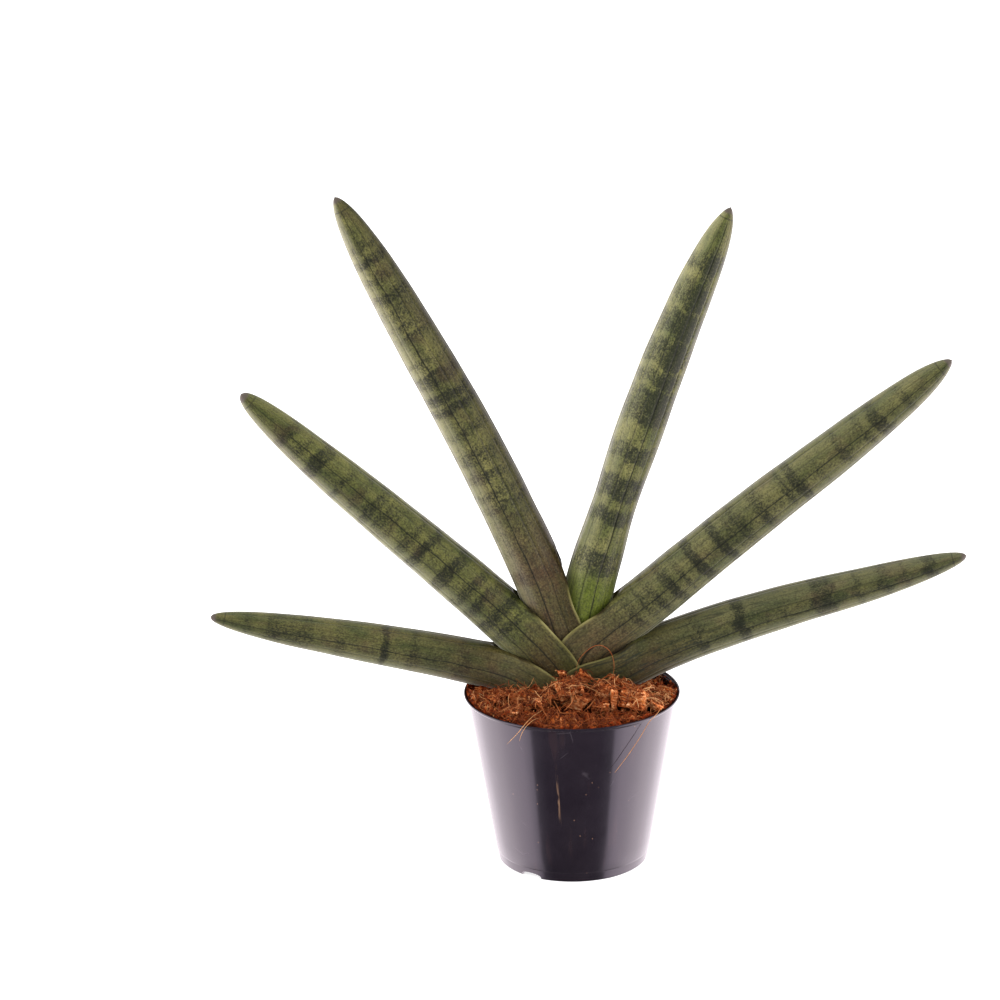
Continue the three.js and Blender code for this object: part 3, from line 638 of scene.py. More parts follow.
def pot_plastic():
    """Injection-moulded polypropylene: near black, glossy, with dust and light scuffs."""
    material, add = new_material("pot_polypropylene")
    place = add("TexCoord").outputs["Object"]
    across, depth, height = add("SeparateXYZ", [place]).outputs
    cloud = add("TexNoise", {"Vector": place, "Scale": scale_for(22.22), "Detail": 4, "Roughness": 0.6})
    tone = add("ValToRGB", [cloud], ramp=[(0.3, "#17131A"), (0.7, "#201B22")])

    # Wiped smears, fine scratches and specks of dust.
    drawn = add("VectorMath", [place, (1, 1, 0.1)], "MULTIPLY")
    wiped = add("TexNoise", {"Vector": drawn, "Scale": scale_for(6.667), "Detail": 2})
    smear = add("MapRange", [wiped, 0.6, 0.75, 0, 0.22], **SMOOTH)
    cracks = add("TexVoronoi", {"Vector": place, "Scale": scale_for(26.316)}, feature="DISTANCE_TO_EDGE")
    thin = add("MapRange", [cracks, 0.012, 0.004])
    few = add("MapRange", [cloud, 0.6, 0.66, 0, 0.16])
    scratch = add("Math", [thin, few], "MULTIPLY")
    dust = add("TexVoronoi", {"Vector": place, "Scale": scale_for(3.3333), "Randomness": 1}, feature="F1")
    speck = add("MapRange", [dust, 0.1, 0.05])
    rare = add("SeparateXYZ", [dust.outputs["Color"]]).outputs["X"]
    chosen = add("Math", [rare, 0.9], "GREATER_THAN")
    specks = add("Math", [speck, chosen], "MULTIPLY")

    # A warm, pale streak down the front, which leans a little.
    leaning = add("Math", [height, 0.0615, across], "MULTIPLY_ADD")
    fibrous = add("VectorMath", [place, (1, 1, 0.05)], "MULTIPLY")
    dabs = add("TexNoise", {"Vector": fibrous, "Scale": scale_for(1.1111), "Detail": 2})
    streak = add("MapRange", [dabs, 0.42, 0.72, 0, 0.42])
    for part in (add("Math", [leaning, -5.4 * MM, 0.6 * MM], "COMPARE"),
                 add("MapRange", [height, 34 * MM, 46 * MM], **SMOOTH),
                 add("MapRange", [height, 78 * MM, 50 * MM], **SMOOTH),
                 add("Math", [depth, 0], "LESS_THAN")):
        streak = add("Math", [streak, part], "MULTIPLY")
    for amount, colour in ((smear, "#3B2A2B"), (scratch, "#6E666C"), (streak, "#A98468"), (specks, "#96715A")):
        tone = add("Mix", [amount, tone, linear(colour)], **COLOURS)
    polish = add("MapRange", [cloud, 0.35, 0.7, 0.07, 0.13])
    handled = add("MapRange", [height, 62 * MM, 10 * MM, 0, 0.07])
    ripple = add("TexNoise", {"Vector": place, "Scale": scale_for(35.714), "Detail": 2})
    add("OutputMaterial", [add("BsdfPrincipled", {
        "Base Color": tone, "Roughness": add("Math", [polish, handled], "ADD"), "IOR": 1.49,
        "Normal": add("Bump", {"Height": ripple, "Strength": 0.12, "Distance": 0.6 * MM}),
    })])
    return material


def paint_shade_in_hollows(add, colour):
    """Painted shade: the coir's colour is darker where the nearby surface hides much of its sky."""
    open_sky = add("Attribute", attribute_name="open").outputs["Fac"]
    return add("VectorMath", [colour, add("MapRange", [open_sky, 0.26, 0.88, 0.1, 1.14])], "SCALE")


def coir_pith():
    """Ground coconut husk, peat-like and slightly moist: crumbly pith, red-brown, with painted shade in the gaps."""
    material, add = new_material("coir_pith")
    place = add("TexCoord").outputs["Object"]
    # On the bed the depth mark carries painted shade in the gaps; on the loose crumbs it is each crumb's own tone.
    depth = add("Attribute", attribute_name="depth").outputs["Fac"]
    lumps = add("TexNoise", {"Vector": place, "Scale": scale_for(6.25), "Detail": 4, "Roughness": 0.65})
    crumbs = add("TexNoise", {"Vector": place, "Scale": scale_for(1.17647), "Detail": 4, "Roughness": 0.75})
    both = add("Math", [crumbs, 0.7, lumps], "MULTIPLY_ADD")
    level = add("Math", [depth, 0.6, both], "MULTIPLY_ADD")
    tone = add("ValToRGB", [add("MapRange", [level, 0.72, 1.62])], ramp=[
        (0.1, "#160502"), (0.34, "#401607"), (0.57, "#762E13"), (0.8, "#A35527"), (1, "#C8844E")])
    add("OutputMaterial", [add("BsdfPrincipled", {
        "Base Color": paint_shade_in_hollows(add, tone), "Roughness": 0.95, "IOR": 1.45, "Specular IOR Level": 0.06,
        "Normal": add("Bump", {"Height": both, "Strength": 1, "Distance": 1.2 * MM}),
    })])
    return material


def coir_husk():
    """Chopped coconut husk: pieces with pith between straight fibres, some pieces lighter than others."""
    material, add = new_material("coir_husk")
    place = add("TexCoord").outputs["Object"]
    grown = add("Attribute", attribute_name="grain").outputs["Vector"]
    warped = add("TexNoise", {"Vector": grown, "Scale": scale_for(5), "Detail": 1}).outputs["Color"]
    swung = add("VectorMath", [warped, (3 * MM, 3 * MM, 3 * MM), grown], "MULTIPLY_ADD")
    drawn = add("VectorMath", [swung, (0.1, 1, 1)], "MULTIPLY")
    fibre = add("TexNoise", {"Vector": drawn, "Scale": scale_for(0.909091), "Detail": 3, "Roughness": 0.65})
    lumps = add("TexNoise", {"Vector": place, "Scale": scale_for(3.84615), "Detail": 4, "Roughness": 0.65})
    both = add("Math", [lumps, 0.8, fibre], "MULTIPLY_ADD")
    tone = add("ValToRGB", [add("MapRange", [both, 0.66, 1.16])], ramp=[
        (0.05, "#3A1407"), (0.35, "#7E3A19"), (0.65, "#B06A3E"), (1, "#DBAA7E")])
    light = add("Attribute", attribute_name="light").outputs["Fac"]
    lit = add("VectorMath", [tone, light], "SCALE")
    add("OutputMaterial", [add("BsdfPrincipled", {
        "Base Color": paint_shade_in_hollows(add, lit), "Roughness": 0.92, "IOR": 1.45, "Specular IOR Level": 0.08,
        "Normal": add("Bump", {"Height": both, "Strength": 1, "Distance": 1 * MM}),
    })])
    return material


def coir_fibre():
    """Single coconut fibres: tan to rust, slightly silky."""
    material, add = new_material("coir_fibre")
    shade = add("Attribute", attribute_name="shade").outputs["Fac"]
    tone = add("ValToRGB", [shade], ramp=[(0, "#431707"), (0.5, "#87401A"), (0.8, "#A86437"), (1, "#C89262")])
    place = add("TexCoord").outputs["Object"]
    uneven = add("TexNoise", {"Vector": place, "Scale": scale_for(1.42857), "Detail": 2})
    level = add("MapRange", [uneven, 0.3, 0.7, 0.75, 1.15])
    add("OutputMaterial", [add("BsdfPrincipled", {
        "Base Color": add("VectorMath", [tone, level], "SCALE"),
        "Roughness": 0.7, "IOR": 1.5, "Specular IOR Level": 0.2,
        "Normal": add("Bump", {"Height": uneven, "Strength": 0.3, "Distance": 0.1 * MM}),
    })])
    return material


def root_cork():
    """Young roots and stem base: straw-coloured, dry and slightly rough."""
    material, add = new_material("root_cork")
    place = add("TexCoord").outputs["Object"]
    rough = add("TexNoise", {"Vector": place, "Scale": scale_for(2.85714), "Detail": 4})
    add("OutputMaterial", [add("BsdfPrincipled", {
        "Base Color": add("ValToRGB", [rough], ramp=[(0.3, "#9A6E3E"), (0.7, "#C9A26C")]),
        "Roughness": 0.85, "IOR": 1.45,
        "Normal": add("Bump", {"Height": rough, "Strength": 0.5, "Distance": 0.5 * MM}),
    })])
    return material


# ---------------------------------------------------------------- leaves

def centre_line(path, steps=60):
    """Points along a smooth line through the path, each with its distance from the start, in mm."""
    knots = [Vector(p) for p in path]
    knots = [knots[0] * 2 - knots[1]] + knots + [knots[-1] * 2 - knots[-2]]
    points = []
    for a, b, c, d in zip(knots, knots[1:], knots[2:], knots[3:]):
        for i in range(steps):
            t = i / steps
            points.append(((b * 2) + (c - a) * t + (a * 2 - b * 5 + c * 4 - d) * t ** 2
                           + (b * 3 - a - c * 3 + d) * t ** 3) / 2)
    points.append(knots[-2])
    distances = [0]
    for a, b in zip(points, points[1:]):
        distances.append(distances[-1] + (b - a).length)
    return points, distances


def along_line(points, distances, distance):
    """The place and the heading at a distance along a centre line."""
    low, high = 0, len(distances) - 2
    while low < high:
        middle = (low + high + 1) // 2
        if distances[middle] <= distance:
            low = middle
        else:
            high = middle - 1
    share = (distance - distances[low]) / (distances[low + 1] - distances[low])
    place = points[low].lerp(points[low + 1], share)
    before = points[max(0, low - 1)]
    after = points[min(len(points) - 1, low + 2)]
    return place, (after - before).normalized()


def row_distance(share, length):
    """Rows stand close together in the clasping part and again towards the tip."""
    sheath_share = SHEATH_ROWS / LEAF_ROWS
    if share <= sheath_share:
        return SHEATH_REACH * share / sheath_share
    outward = (share - sheath_share) / (1 - sheath_share)
    return mix(SHEATH_REACH, length, math.sin(outward * math.pi / 2))


def margin_at(leaf, distance):
    """How far the leaf's margins stand out from its centre line, in mm."""
    marks = leaf["margin"]
    if distance <= marks[0][0]:
        return marks[0][1]
    for (low, a), (high, b) in zip(marks, marks[1:]):
        if distance <= high:
            return mix(a, b, (distance - low) / (high - low))
    return marks[-1][1]


def leaf_section(turn, half_width, half_thickness, sheath, margin, gathered):
    """One point of a section, in mm: how far towards the margin side and how far to the side.
    Gathered sections keep the margins close to the leaf's ridge, so that they run out into it."""
    angle = math.radians(turn)
    if turn > GATHER_START:
        span = 180 - GATHER_START
        angle = math.radians(mix(turn, 180 - span * ((180 - turn) / span) ** GATHER_POWER, gathered))
    open_across = -half_width * math.cos(angle)
    open_side = half_thickness * math.sin(angle)
    if turn <= 90 or sheath <= 0:
        return open_across, open_side
    lip = LIP_RADIUS
    shoulder = margin - lip
    if turn <= LIP_START:
        across = shoulder * (turn - 90) / (LIP_START - 90)
        side = half_thickness
    elif turn <= LIP_END:
        roll = math.pi * (turn - LIP_START) / (LIP_END - LIP_START)
        across = shoulder + lip * math.sin(roll)
        side = half_thickness - lip + lip * math.cos(roll)
    else:
        fall = math.pi / 2 * (180 - turn) / (180 - LIP_END)
        across = shoulder - half_width * LIP_TUCK * max(0, math.cos(fall)) ** LIP_SQUARENESS
        side = (half_thickness - lip * 2) * math.sin(fall) ** LIP_SQUARENESS
    return mix(open_across, across, sheath), mix(open_side, side, sheath)


def furrow_depth(turn, leaf, fade):
    """Depth of the furrows at an angle round the leaf, in mm."""
    off = (turn - leaf["furrow_turn"]) % FURROW_SPACING - FURROW_SPACING / 2
    return FURROW_DEPTH * fade * math.exp(-(off / FURROW_HALF_ANGLE) ** 2)


def leaf_width(leaf, distance, length):
    from_tip = length - distance
    grown = leaf["full"] * (from_tip / (from_tip + leaf["taper"])) ** leaf["bluntness"]
    pinch = 1 - leaf["waist"] * math.exp(-((from_tip - WAIST_PLACE) / WAIST_SPREAD) ** 2)
    free = max(TIP_WIDTH, grown * pinch)
    rounding = min(1, from_tip / TIP_WIDTH)
    free *= math.sqrt(max(0, rounding * (2 - rounding)))
    return mix(leaf["base_width"], free, ease(distance, 0, SHEATH_LENGTH))


def make_leaf(leaf):
    """A grid with the keel at its two long edges, wrapped round the leaf's centre line and closed at its ends."""
    points, distances = centre_line(leaf["path"])
    length = distances[-1]
    bm = bmesh.new()
    skin = bm.loops.layers.uv.new("skin")
    bmesh.ops.create_grid(bm, x_segments=LEAF_COLUMNS, y_segments=LEAF_ROWS, size=1)
    for face in bm.faces:
        for loop in face.loops:
            share = (loop.vert.co.y + 1) / 2
            from_tip = length - row_distance(share, length)
            loop[skin].uv = ((loop.vert.co.x + 1) / 2, from_tip * MM)

    rows = {}
    opening = leaf["margin"][-1][0]
    for vert in bm.verts:
        share = round((vert.co.y + 1) / 2 * LEAF_ROWS)
        if share not in rows:
            distance = row_distance(share / LEAF_ROWS, length)
            place, heading = along_line(points, distances, distance)
            width = leaf_width(leaf, distance, length)
            past = distance - opening
            sheath = 1 - ease(past, *CLASP_ENDS)
            free = width * ROUNDNESS / 2
            thickness = mix(leaf["clasp"], free,
                            ease(distance, leaf["clasp_end"], leaf["clasp_end"] + leaf["clasp_fade"]))
            facing = mix(math.pi / 2, math.atan2(heading.z, heading.x), ease(distance, 0, SHEATH_LENGTH))
            inward = Vector((-leaf["leans"] * math.sin(facing), 0, leaf["leans"] * math.cos(facing)))
            gathered = 1 - ease(past, *GATHER_ENDS)
            drop = mix(BACK_MARGIN_DROP, BACK_MARGIN_END_DROP * abs(heading.x), ease(past, *BACK_DROP_LESSENS))
            margin = sum(margin_at(leaf, distance + step) for step in MARGIN_SMOOTHING) / len(MARGIN_SMOOTHING)
            front_margin = mix(margin, width / 2, ease(past, *FRONT_MARGIN_RUNS_OUT))
            back_margin = margin - drop * ease(past, *BACK_DROP_STARTS)
            rows[share] = (place, inward, width, thickness, sheath, gathered, front_margin, back_margin, distance)
        place, inward, width, thickness, sheath, gathered, front_margin, back_margin, distance = rows[share]
        around = (vert.co.x + 1) * 180
        turn = around if around <= 180 else 360 - around
        front = 1 if around <= 180 else -1
        margin = front_margin if front > 0 else back_margin
        across, side = leaf_section(turn, width / 2, thickness, sheath, margin, gathered)
        fade = min(1, width / leaf["full"])
        if turn > FURROWS_STOP:
            fade *= 1 - sheath
        reach = math.hypot(across, side)
        if reach > THINNEST_FURROWED and not (turn > LIP_START and sheath > SMOOTH_SHEATH):
            spin = math.radians(around)
            sway = noise.noise(Vector((math.cos(spin), math.sin(spin), distance / SWAY_LENGTH + leaf["seed"])))
            cut = furrow_depth(around, leaf, fade) - SWAY * sway * fade
            across *= 1 - cut / reach
            side *= 1 - cut / reach
        spot = place + inward * across
        vert.co = Vector((spot.x, spot.y - side * front, spot.z)) * MM

    bmesh.ops.remove_doubles(bm, verts=bm.verts[:], dist=LEAF_WELD * MM)
    rim = [edge for edge in bm.edges if edge.is_boundary]
    bmesh.ops.holes_fill(bm, edges=rim, sides=0)
    bmesh.ops.recalc_face_normals(bm, faces=bm.faces[:])
    return finish_piece(leaf["name"] + "_skin", bm, leaf_skin(leaf, length * MM), leaf["name"])


# ---------------------------------------------------------------- pot

def wall_radius(z):
    share = (z - MOULD_LINE_HEIGHT) / (LIP_BOTTOM - MOULD_LINE_HEIGHT)
    return mix(MOULD_LINE_RADIUS + MOULD_LINE_STEP, WALL_TOP_RADIUS, share)


def spin_profile(bm, profile, turns):
    """Turns a half section, given as radius and height in mm, about the upright axis."""
    verts = [bm.verts.new((0, -r * MM, z * MM)) for r, z in profile]
    edges = [bm.edges.new(pair) for pair in zip(verts, verts[1:])]
    bmesh.ops.spin(bm, geom=verts + edges, cent=(0, 0, 0), axis=(0, 0, 1), angle=math.tau,
                   steps=turns, use_merge=True)
    bmesh.ops.remove_doubles(bm, verts=bm.verts[:], dist=POT_WELD * MM)
    bmesh.ops.recalc_face_normals(bm, faces=bm.faces[:])


def arc(centre, radius, start, end, steps):
    """Points of a circular arc in the half section, angles in degrees."""
    spots = []
    for i in range(steps + 1):
        angle = math.radians(mix(start, end, i / steps))
        spots.append((centre[0] + radius * math.cos(angle), centre[1] + radius * math.sin(angle)))
    return spots


def make_pot():
    """A half section in mm, from the middle of the foot out, up the wall, over the rolled rim and back down inside."""
    inside_top = WALL_TOP_RADIUS - WALL
    inside_foot = MOULD_LINE_RADIUS + MOULD_LINE_STEP - WALL
    mould = MOULD_LINE_HEIGHT
    profile = [(0, PLATE_HEIGHT), (FOOT_RADIUS - 2, PLATE_HEIGHT), (FOOT_RADIUS - 1.4, PLATE_HEIGHT - 0.6),
               (FOOT_RADIUS - 1.2, 0.2), (FOOT_RADIUS - 1, 0)]
    profile += arc((wall_radius(1) - MOULD_LINE_STEP - 1, 1), 1, -90, 0, 6)
    profile += [(wall_radius(z) - MOULD_LINE_STEP, z) for z in (2.2, 3.6, 4.7)]
    profile += [(MOULD_LINE_RADIUS - 0.04, mould - 0.12), (MOULD_LINE_RADIUS, mould),
                (wall_radius(mould + 0.15) - 0.06, mould + 0.15)]
    heights = [mould + 0.5] + [mix(mould + 1.5, LIP_BOTTOM - 1.6, i / WALL_STEPS) for i in range(1, WALL_STEPS + 1)]
    profile += [(wall_radius(z), z) for z in heights + [LIP_BOTTOM - 0.8, LIP_BOTTOM - 0.3]]
    profile += [(WALL_TOP_RADIUS + 0.3, LIP_BOTTOM + 0.1), (RIM_RADIUS - 0.9, LIP_BOTTOM + 0.5),
                (RIM_RADIUS - 0.3, LIP_BOTTOM + 0.8), (RIM_RADIUS - 0.05, LIP_BOTTOM + 1.2)]
    profile += arc((RIM_RADIUS - RIM_THICK / 2, RIM_HEIGHT - RIM_THICK / 2), RIM_THICK / 2, 0, 180, 10)
    profile += [(RIM_RADIUS - RIM_THICK - 0.1, LIP_BOTTOM + 1.1), (inside_top + 0.6, LIP_BOTTOM + 0.4),
                (inside_top, LIP_BOTTOM - 0.6), (inside_foot, mould),
                (inside_foot - 1, PLATE_HEIGHT + WALL), (0, PLATE_HEIGHT + WALL)]
    bm = bmesh.new()
    spin_profile(bm, profile, POT_TURNS)
    pot = finish_piece("pot_shell", bm, pot_plastic(), "pot")

    # Arched drain slots in the foot's corner.
    bm = bmesh.new()
    for i in range(SLOT_COUNT):
        turn = math.radians(SLOT_TURN + i * 360 / SLOT_COUNT)
        made = bmesh.ops.create_cone(bm, cap_ends=True, segments=SLOT_SEGMENTS, radius1=0.5, radius2=0.5,
                                     depth=1)["verts"]
        for vert in made:
            tight = math.copysign(abs(vert.co.y * 2) ** SLOT_ARCH, vert.co.y)
            vert.co = Vector((vert.co.z * SLOT_DEPTH, vert.co.x * SLOT_WIDTH, tight * SLOT_HEIGHT)) * MM
        bmesh.ops.translate(bm, verts=made, vec=Vector((FOOT_RADIUS + WALL * 3 - SLOT_DEPTH / 2, 0, 0)) * MM)
        bmesh.ops.rotate(bm, verts=made, cent=(0, 0, 0), matrix=Matrix.Rotation(turn, 3, "Z"))
    bmesh.ops.recalc_face_normals(bm, faces=bm.faces[:])
    cutter = new_object("slot_cutter", bake_mesh("slot_cutter", bm))
    cut = pot.modifiers.new("slots", "BOOLEAN")
    cut.operation = "DIFFERENCE"
    cut.solver = "EXACT"
    cut.object = cutter
    bpy.context.view_layer.update()
    shaped = bpy.data.meshes.new_from_object(pot.evaluated_get(bpy.context.evaluated_depsgraph_get()))
    pot.modifiers.clear()
    pot.data = shaped
    pot.data.set_sharp_from_angle(angle=math.radians(SHARP_TURN))
    bpy.data.objects.remove(cutter)


# ---------------------------------------------------------------- coir

# Large pieces of husk: place, size, turn about X, Y and Z in degrees, and how torn they are.
LARGE_HUSK = [
    ((-2, -25, 105.3), (15, 12, 12), (15, -10, 20), 0.65),
    ((3, -31, 102.2), (11, 9, 8.5), (-20, 15, -30), 0.55),
    ((-9.5, -27, 102.5), (9, 9, 7), (10, 20, 10), 0.6),
    ((5.6, -18.5, 110.5), (7, 3.2, 8.5), (-12, 38, 20), 0.4),
    ((-4.8, -17.5, 112), (3.4, 2.6, 8), (10, -20, 0), 0.3),
    ((17.5, -25.5, 105.3), (10.5, 8, 10), (-25, 10, -20), 0.3),
    ((21.8, -30, 103), (3.6, 9, 13), (-12, 4, 8), 0.35),
    ((14.6, -35, 100.4), (10, 7, 5.6), (5, 0, -10), 0.45),
    ((25.5, -17, 105.5), (11, 7, 7), (0, 20, 15), 0.8),
    ((33, -30.5, 102.6), (14, 8, 12), (-35, 8, -16), 0.25),
    ((44.3, -29, 99.6), (11, 8, 3.6), (-20, 24, -30), 0.35),
    ((-17, -31, 101.3), (9, 7, 5.5), (10, 10, 40), 0.7),
    ((-28.5, -23, 101.6), (11, 8, 5.5), (-15, 5, -20), 0.8),
    ((-40, -20, 100), (9, 7, 5), (5, -15, 30), 0.7),
    ((-32, -37, 98.6), (8, 6, 4), (0, 10, 60), 0.5),
]
# Hollows between them: x, y, half width, half depth towards the back, depth.
HOLLOWS = [(10.2, -15, 2.4, 5, 4.5), (18, -39, 6, 2.2, 3), (40.5, -35.5, 4, 2.6, 3.6), (-6.5, -35.5, 5, 2.4, 3),
           (26, -34, 1.8, 5, 4), (-18, -20, 6, 3, 3), (-26, -31, 3, 2, 2.5), (2, -39, 4, 1.8, 2), (31, -22, 5, 2.5, 3)]


def coir_level(x, y):
    """Height of the filling's top, in mm."""
    mound = COIR_MOUND * math.exp(-(x / COIR_SPREAD[0]) ** 2 - (y / COIR_SPREAD[1]) ** 2)
    off_x, off_y = x - COIR_DIP_PLACE[0], y - COIR_DIP_PLACE[1]
    dip = COIR_DIP * math.exp(-(off_x ** 2 + off_y ** 2) / COIR_DIP_SPREAD ** 2)
    lumps = math.sin(x * 0.61 + 1.3 * math.sin(y * 0.37)) * math.cos(y * 0.53 + math.sin(x * 0.29))
    return COIR_EDGE_LEVEL + mound - dip + LUMP_HEIGHT * lumps


def fill_radius(z):
    return wall_radius(z) - WALL - GAP


def granules(spot, size):
    """Rounded crumbs with gaps between them: about 0.6 in the middle of a crumb and below 0 in a gap."""
    near = noise.voronoi(spot / size)[0]
    return min(0.6, (near[1] - near[0]) * 1.6) - 0.2


def make_coir_bed():
    """The filling: it fits the pot, and its top is crumbly, with gaps between the crumbs."""
    edge = RIM_RADIUS - RIM_THICK - 0.5
    low = MOULD_LINE_HEIGHT + MOULD_LINE_STEP
    floor = PLATE_HEIGHT + WALL + GAP
    profile = [(0, floor), (fill_radius(low) - 1.2, floor), (fill_radius(low), low),
               (fill_radius(LIP_BOTTOM - 0.8), LIP_BOTTOM - 0.8), (edge - 0.4, LIP_BOTTOM + 1)]
    profile += [(edge * (1 - ring / COIR_RINGS), COIR_EDGE_LEVEL + 1.5) for ring in range(COIR_RINGS + 1)]
    bm = bmesh.new()
    spin_profile(bm, profile, COIR_TURNS)
    depth = bm.verts.layers.float.new("depth")
    for vert in bm.verts:
        x, y, z = vert.co / MM
        vert[depth] = 0.5
        if z > COIR_EDGE_LEVEL + 1.4:
            spot = Vector((x, y, 0))
            drawn = spot / BEND_SIZE
            bend = Vector((noise.noise(drawn), noise.noise(drawn + Vector((9, 0, 0))), 0)) * BEND
            crumbs = sum(high * granules(spot + bend * bent, size) for high, size, bent in CRUMB_LAYERS)
            crumbs += SWELL_HEIGHT * noise.noise(spot / SWELL_SIZE)
            for hx, hy, wide, deep, drop in HOLLOWS:
                off = ((x - hx) / wide) ** 2 + ((y - hy) / deep) ** 2
                crumbs -= drop * math.exp(-off)
            fade = min(1, max(0, (edge - math.hypot(x, y)) / EDGE_FADE))
            level = coir_level(x, y) + mix(EDGE_RISE, 0, fade) + crumbs * mix(EDGE_CRUMBS, 1, fade)
            # Painted shade: the depth mark is lower in the gaps between the crumbs and near the pot's edge, where the
            # pith is coloured darker.
            vert[depth] = max(0, 0.5 + crumbs / CRUMB_SPAN - 0.3 * (1 - fade))
            vert.co = Vector((x, y, level)) * MM
    return finish_piece("coir_bed", bm, coir_pith(), "coir")


def random_spot(luck, radius):
    """A random turn about the pot's axis, and a random place on a disc of the radius."""
    turn = luck.random() * math.tau
    reach = radius * math.sqrt(luck.random())
    return turn, math.cos(turn) * reach, math.sin(turn) * reach


def look_down(tree, x, y):
    """The first point of a surface under a place, in metres, or None."""
    return tree.ray_cast(Vector((x, y, ABOVE_COIR)) * MM, DOWN)[0]


def make_crumbs(luck, coir_tree):
    """Loose crumbs of pith that lie on the filling, each a dented lump with 20 faces."""
    whole = bmesh.new()
    whole.verts.layers.float.new("depth")
    for _ in range(CRUMB_BATCHES):
        part = bmesh.new()
        layer = part.verts.layers.float.new("depth")
        for _ in range(CRUMBS_IN_BATCH):
            turn, x, y = random_spot(luck, COIR_REACH)
            ground = look_down(coir_tree, x, y)
            if ground is None:
                continue
            size = mix(*CRUMB_RADIUS, luck.random() ** 2.2)
            verts = bmesh.ops.create_icosphere(part, subdivisions=1, radius=size * MM)["verts"]
            shade = luck.uniform(*CRUMB_SHADE)
            for vert in verts:
                vert.co *= luck.uniform(*CRUMB_DENT)
                vert.co.z *= CRUMB_FLATTENED
                vert[layer] = shade
            tumble = Matrix.Rotation(turn * 3, 3, (0.4, 0.7, 0.6))
            bmesh.ops.rotate(part, verts=verts, cent=(0, 0, 0), matrix=tumble)
            bmesh.ops.translate(part, verts=verts, vec=ground + Vector((0, 0, size * CRUMB_RAISED * MM)))
        join_part(whole, part)
    return finish_piece("coir_crumbs", whole, coir_pith(), None, smooth=False)


def roughen(verts, amount, seed):
    """Pushes the points in and out by about an amount in mm, in drawn-out ridges, as torn husk is."""
    for vert in verts:
        spot = vert.co / MM
        drawn = Vector((spot.x * HUSK_DRAWN, spot.y, spot.z)) / HUSK_GRAIN
        push = (noise.noise(drawn + Vector((seed, 0, 0))) + 0.6 * noise.noise(drawn * 2.6)
                + 0.5 * noise.noise(drawn * 5.5))
        vert.co += vert.co.normalized() * push * amount * MM


def make_husk(luck):
    """Chips and matted lumps of husk that lie in the coir."""
    bm = bmesh.new()
    bm.verts.layers.float.new("light")
    bm.verts.layers.float_vector.new("grain")
    chips = [(*large, LARGE_HUSK_JITTER) for large in LARGE_HUSK]
    for _ in range(SMALL_HUSK_COUNT):
        x, y = random_spot(luck, SMALL_HUSK_REACH)[1:]
        size = mix(*SMALL_HUSK_SIZE, luck.random() ** 1.7)
        lie = [luck.uniform(-SMALL_HUSK_TILT, SMALL_HUSK_TILT) for _ in "XY"] + [luck.uniform(0, 180)]
        chips.append(((x, y, coir_level(x, y) + 0.3), [size * part for part in SMALL_HUSK_SHAPE], lie,
                      SMALL_HUSK_TORN, SMALL_HUSK_JITTER))
    for place, size, lie, torn, jitter in chips:
        lightness = luck.uniform(*(LARGE_HUSK_LIGHT if jitter == LARGE_HUSK_JITTER else SMALL_HUSK_LIGHT))
        part = bmesh.new()
        layer = part.verts.layers.float.new("light")
        own = part.verts.layers.float_vector.new("grain")
        bmesh.ops.create_cube(part, size=1)
        for vert in part.verts:
            vert.co += Vector([luck.uniform(-jitter, jitter) for _ in range(3)])
        bmesh.ops.bevel(part, geom=part.edges[:], offset=HUSK_BEVEL, segments=1, profile=0.5,
                        affect="EDGES", material=-1)
        cuts = 7 if max(size) > LARGE_CHIP else 2
        bmesh.ops.subdivide_edges(part, edges=part.edges[:], cuts=cuts, use_grid_fill=True)
        bmesh.ops.triangulate(part, faces=part.faces[:])
        bmesh.ops.scale(part, verts=part.verts[:], vec=Vector(size) * MM)
        roughen(part.verts, 0.1 + torn * 1.3, luck.random() * 50)
        shift = Vector((luck.random(), luck.random(), luck.random())) * 0.4
        for vert in part.verts:
            vert[layer] = lightness
            vert[own] = vert.co + shift
        for axis, angle in zip("XYZ", lie):
            turned = Matrix.Rotation(math.radians(angle), 3, axis)
            bmesh.ops.rotate(part, verts=part.verts[:], cent=(0, 0, 0), matrix=turned)
        bmesh.ops.translate(part, verts=part.verts[:], vec=Vector(place) * MM)
        join_part(bm, part)
    return finish_piece("coir_husk_chips", bm, coir_husk(), "coir")


def join_part(whole, part):
    """Adds one bmesh to another and frees it."""
    mesh = bake_mesh("part", part)
    whole.from_mesh(mesh)
    bpy.data.meshes.remove(mesh)


def surface_tree(pieces):
    bm = bmesh.new()
    for piece in pieces:
        bm.from_mesh(piece.data)
    tree = BVHTree.FromBMesh(bm)
    bm.free()
    return tree


# Straight up, and in a cone about half-way down to the level.
OPEN_RAYS = [Vector((0, 0, 1))] + [Vector((math.cos(t), math.sin(t), SKY_SLOPE)).normalized()
                                   for t in (i * math.tau / SKY_RAYS for i in range(SKY_RAYS))]


def openness(spot, tree):
    """The share of the sky that a point of the coir sees, where only what is close is in its way."""
    clear = sum(tree.ray_cast(spot, ray, SKY_REACH * MM)[0] is None for ray in OPEN_RAYS)
    return clear / len(OPEN_RAYS)


# Marks each point of the coir with its share of open sky, for the painted shade in the hollows.
def mark_hollows(pieces, tree):
    for piece in pieces:
        marks = piece.data.attributes.new("open", "FLOAT", "POINT")
        spots = [vert.co + vert.normal * OFF_SURFACE * MM for vert in piece.data.vertices]
        marks.data.foreach_set("value", [openness(spot, tree) for spot in spots])


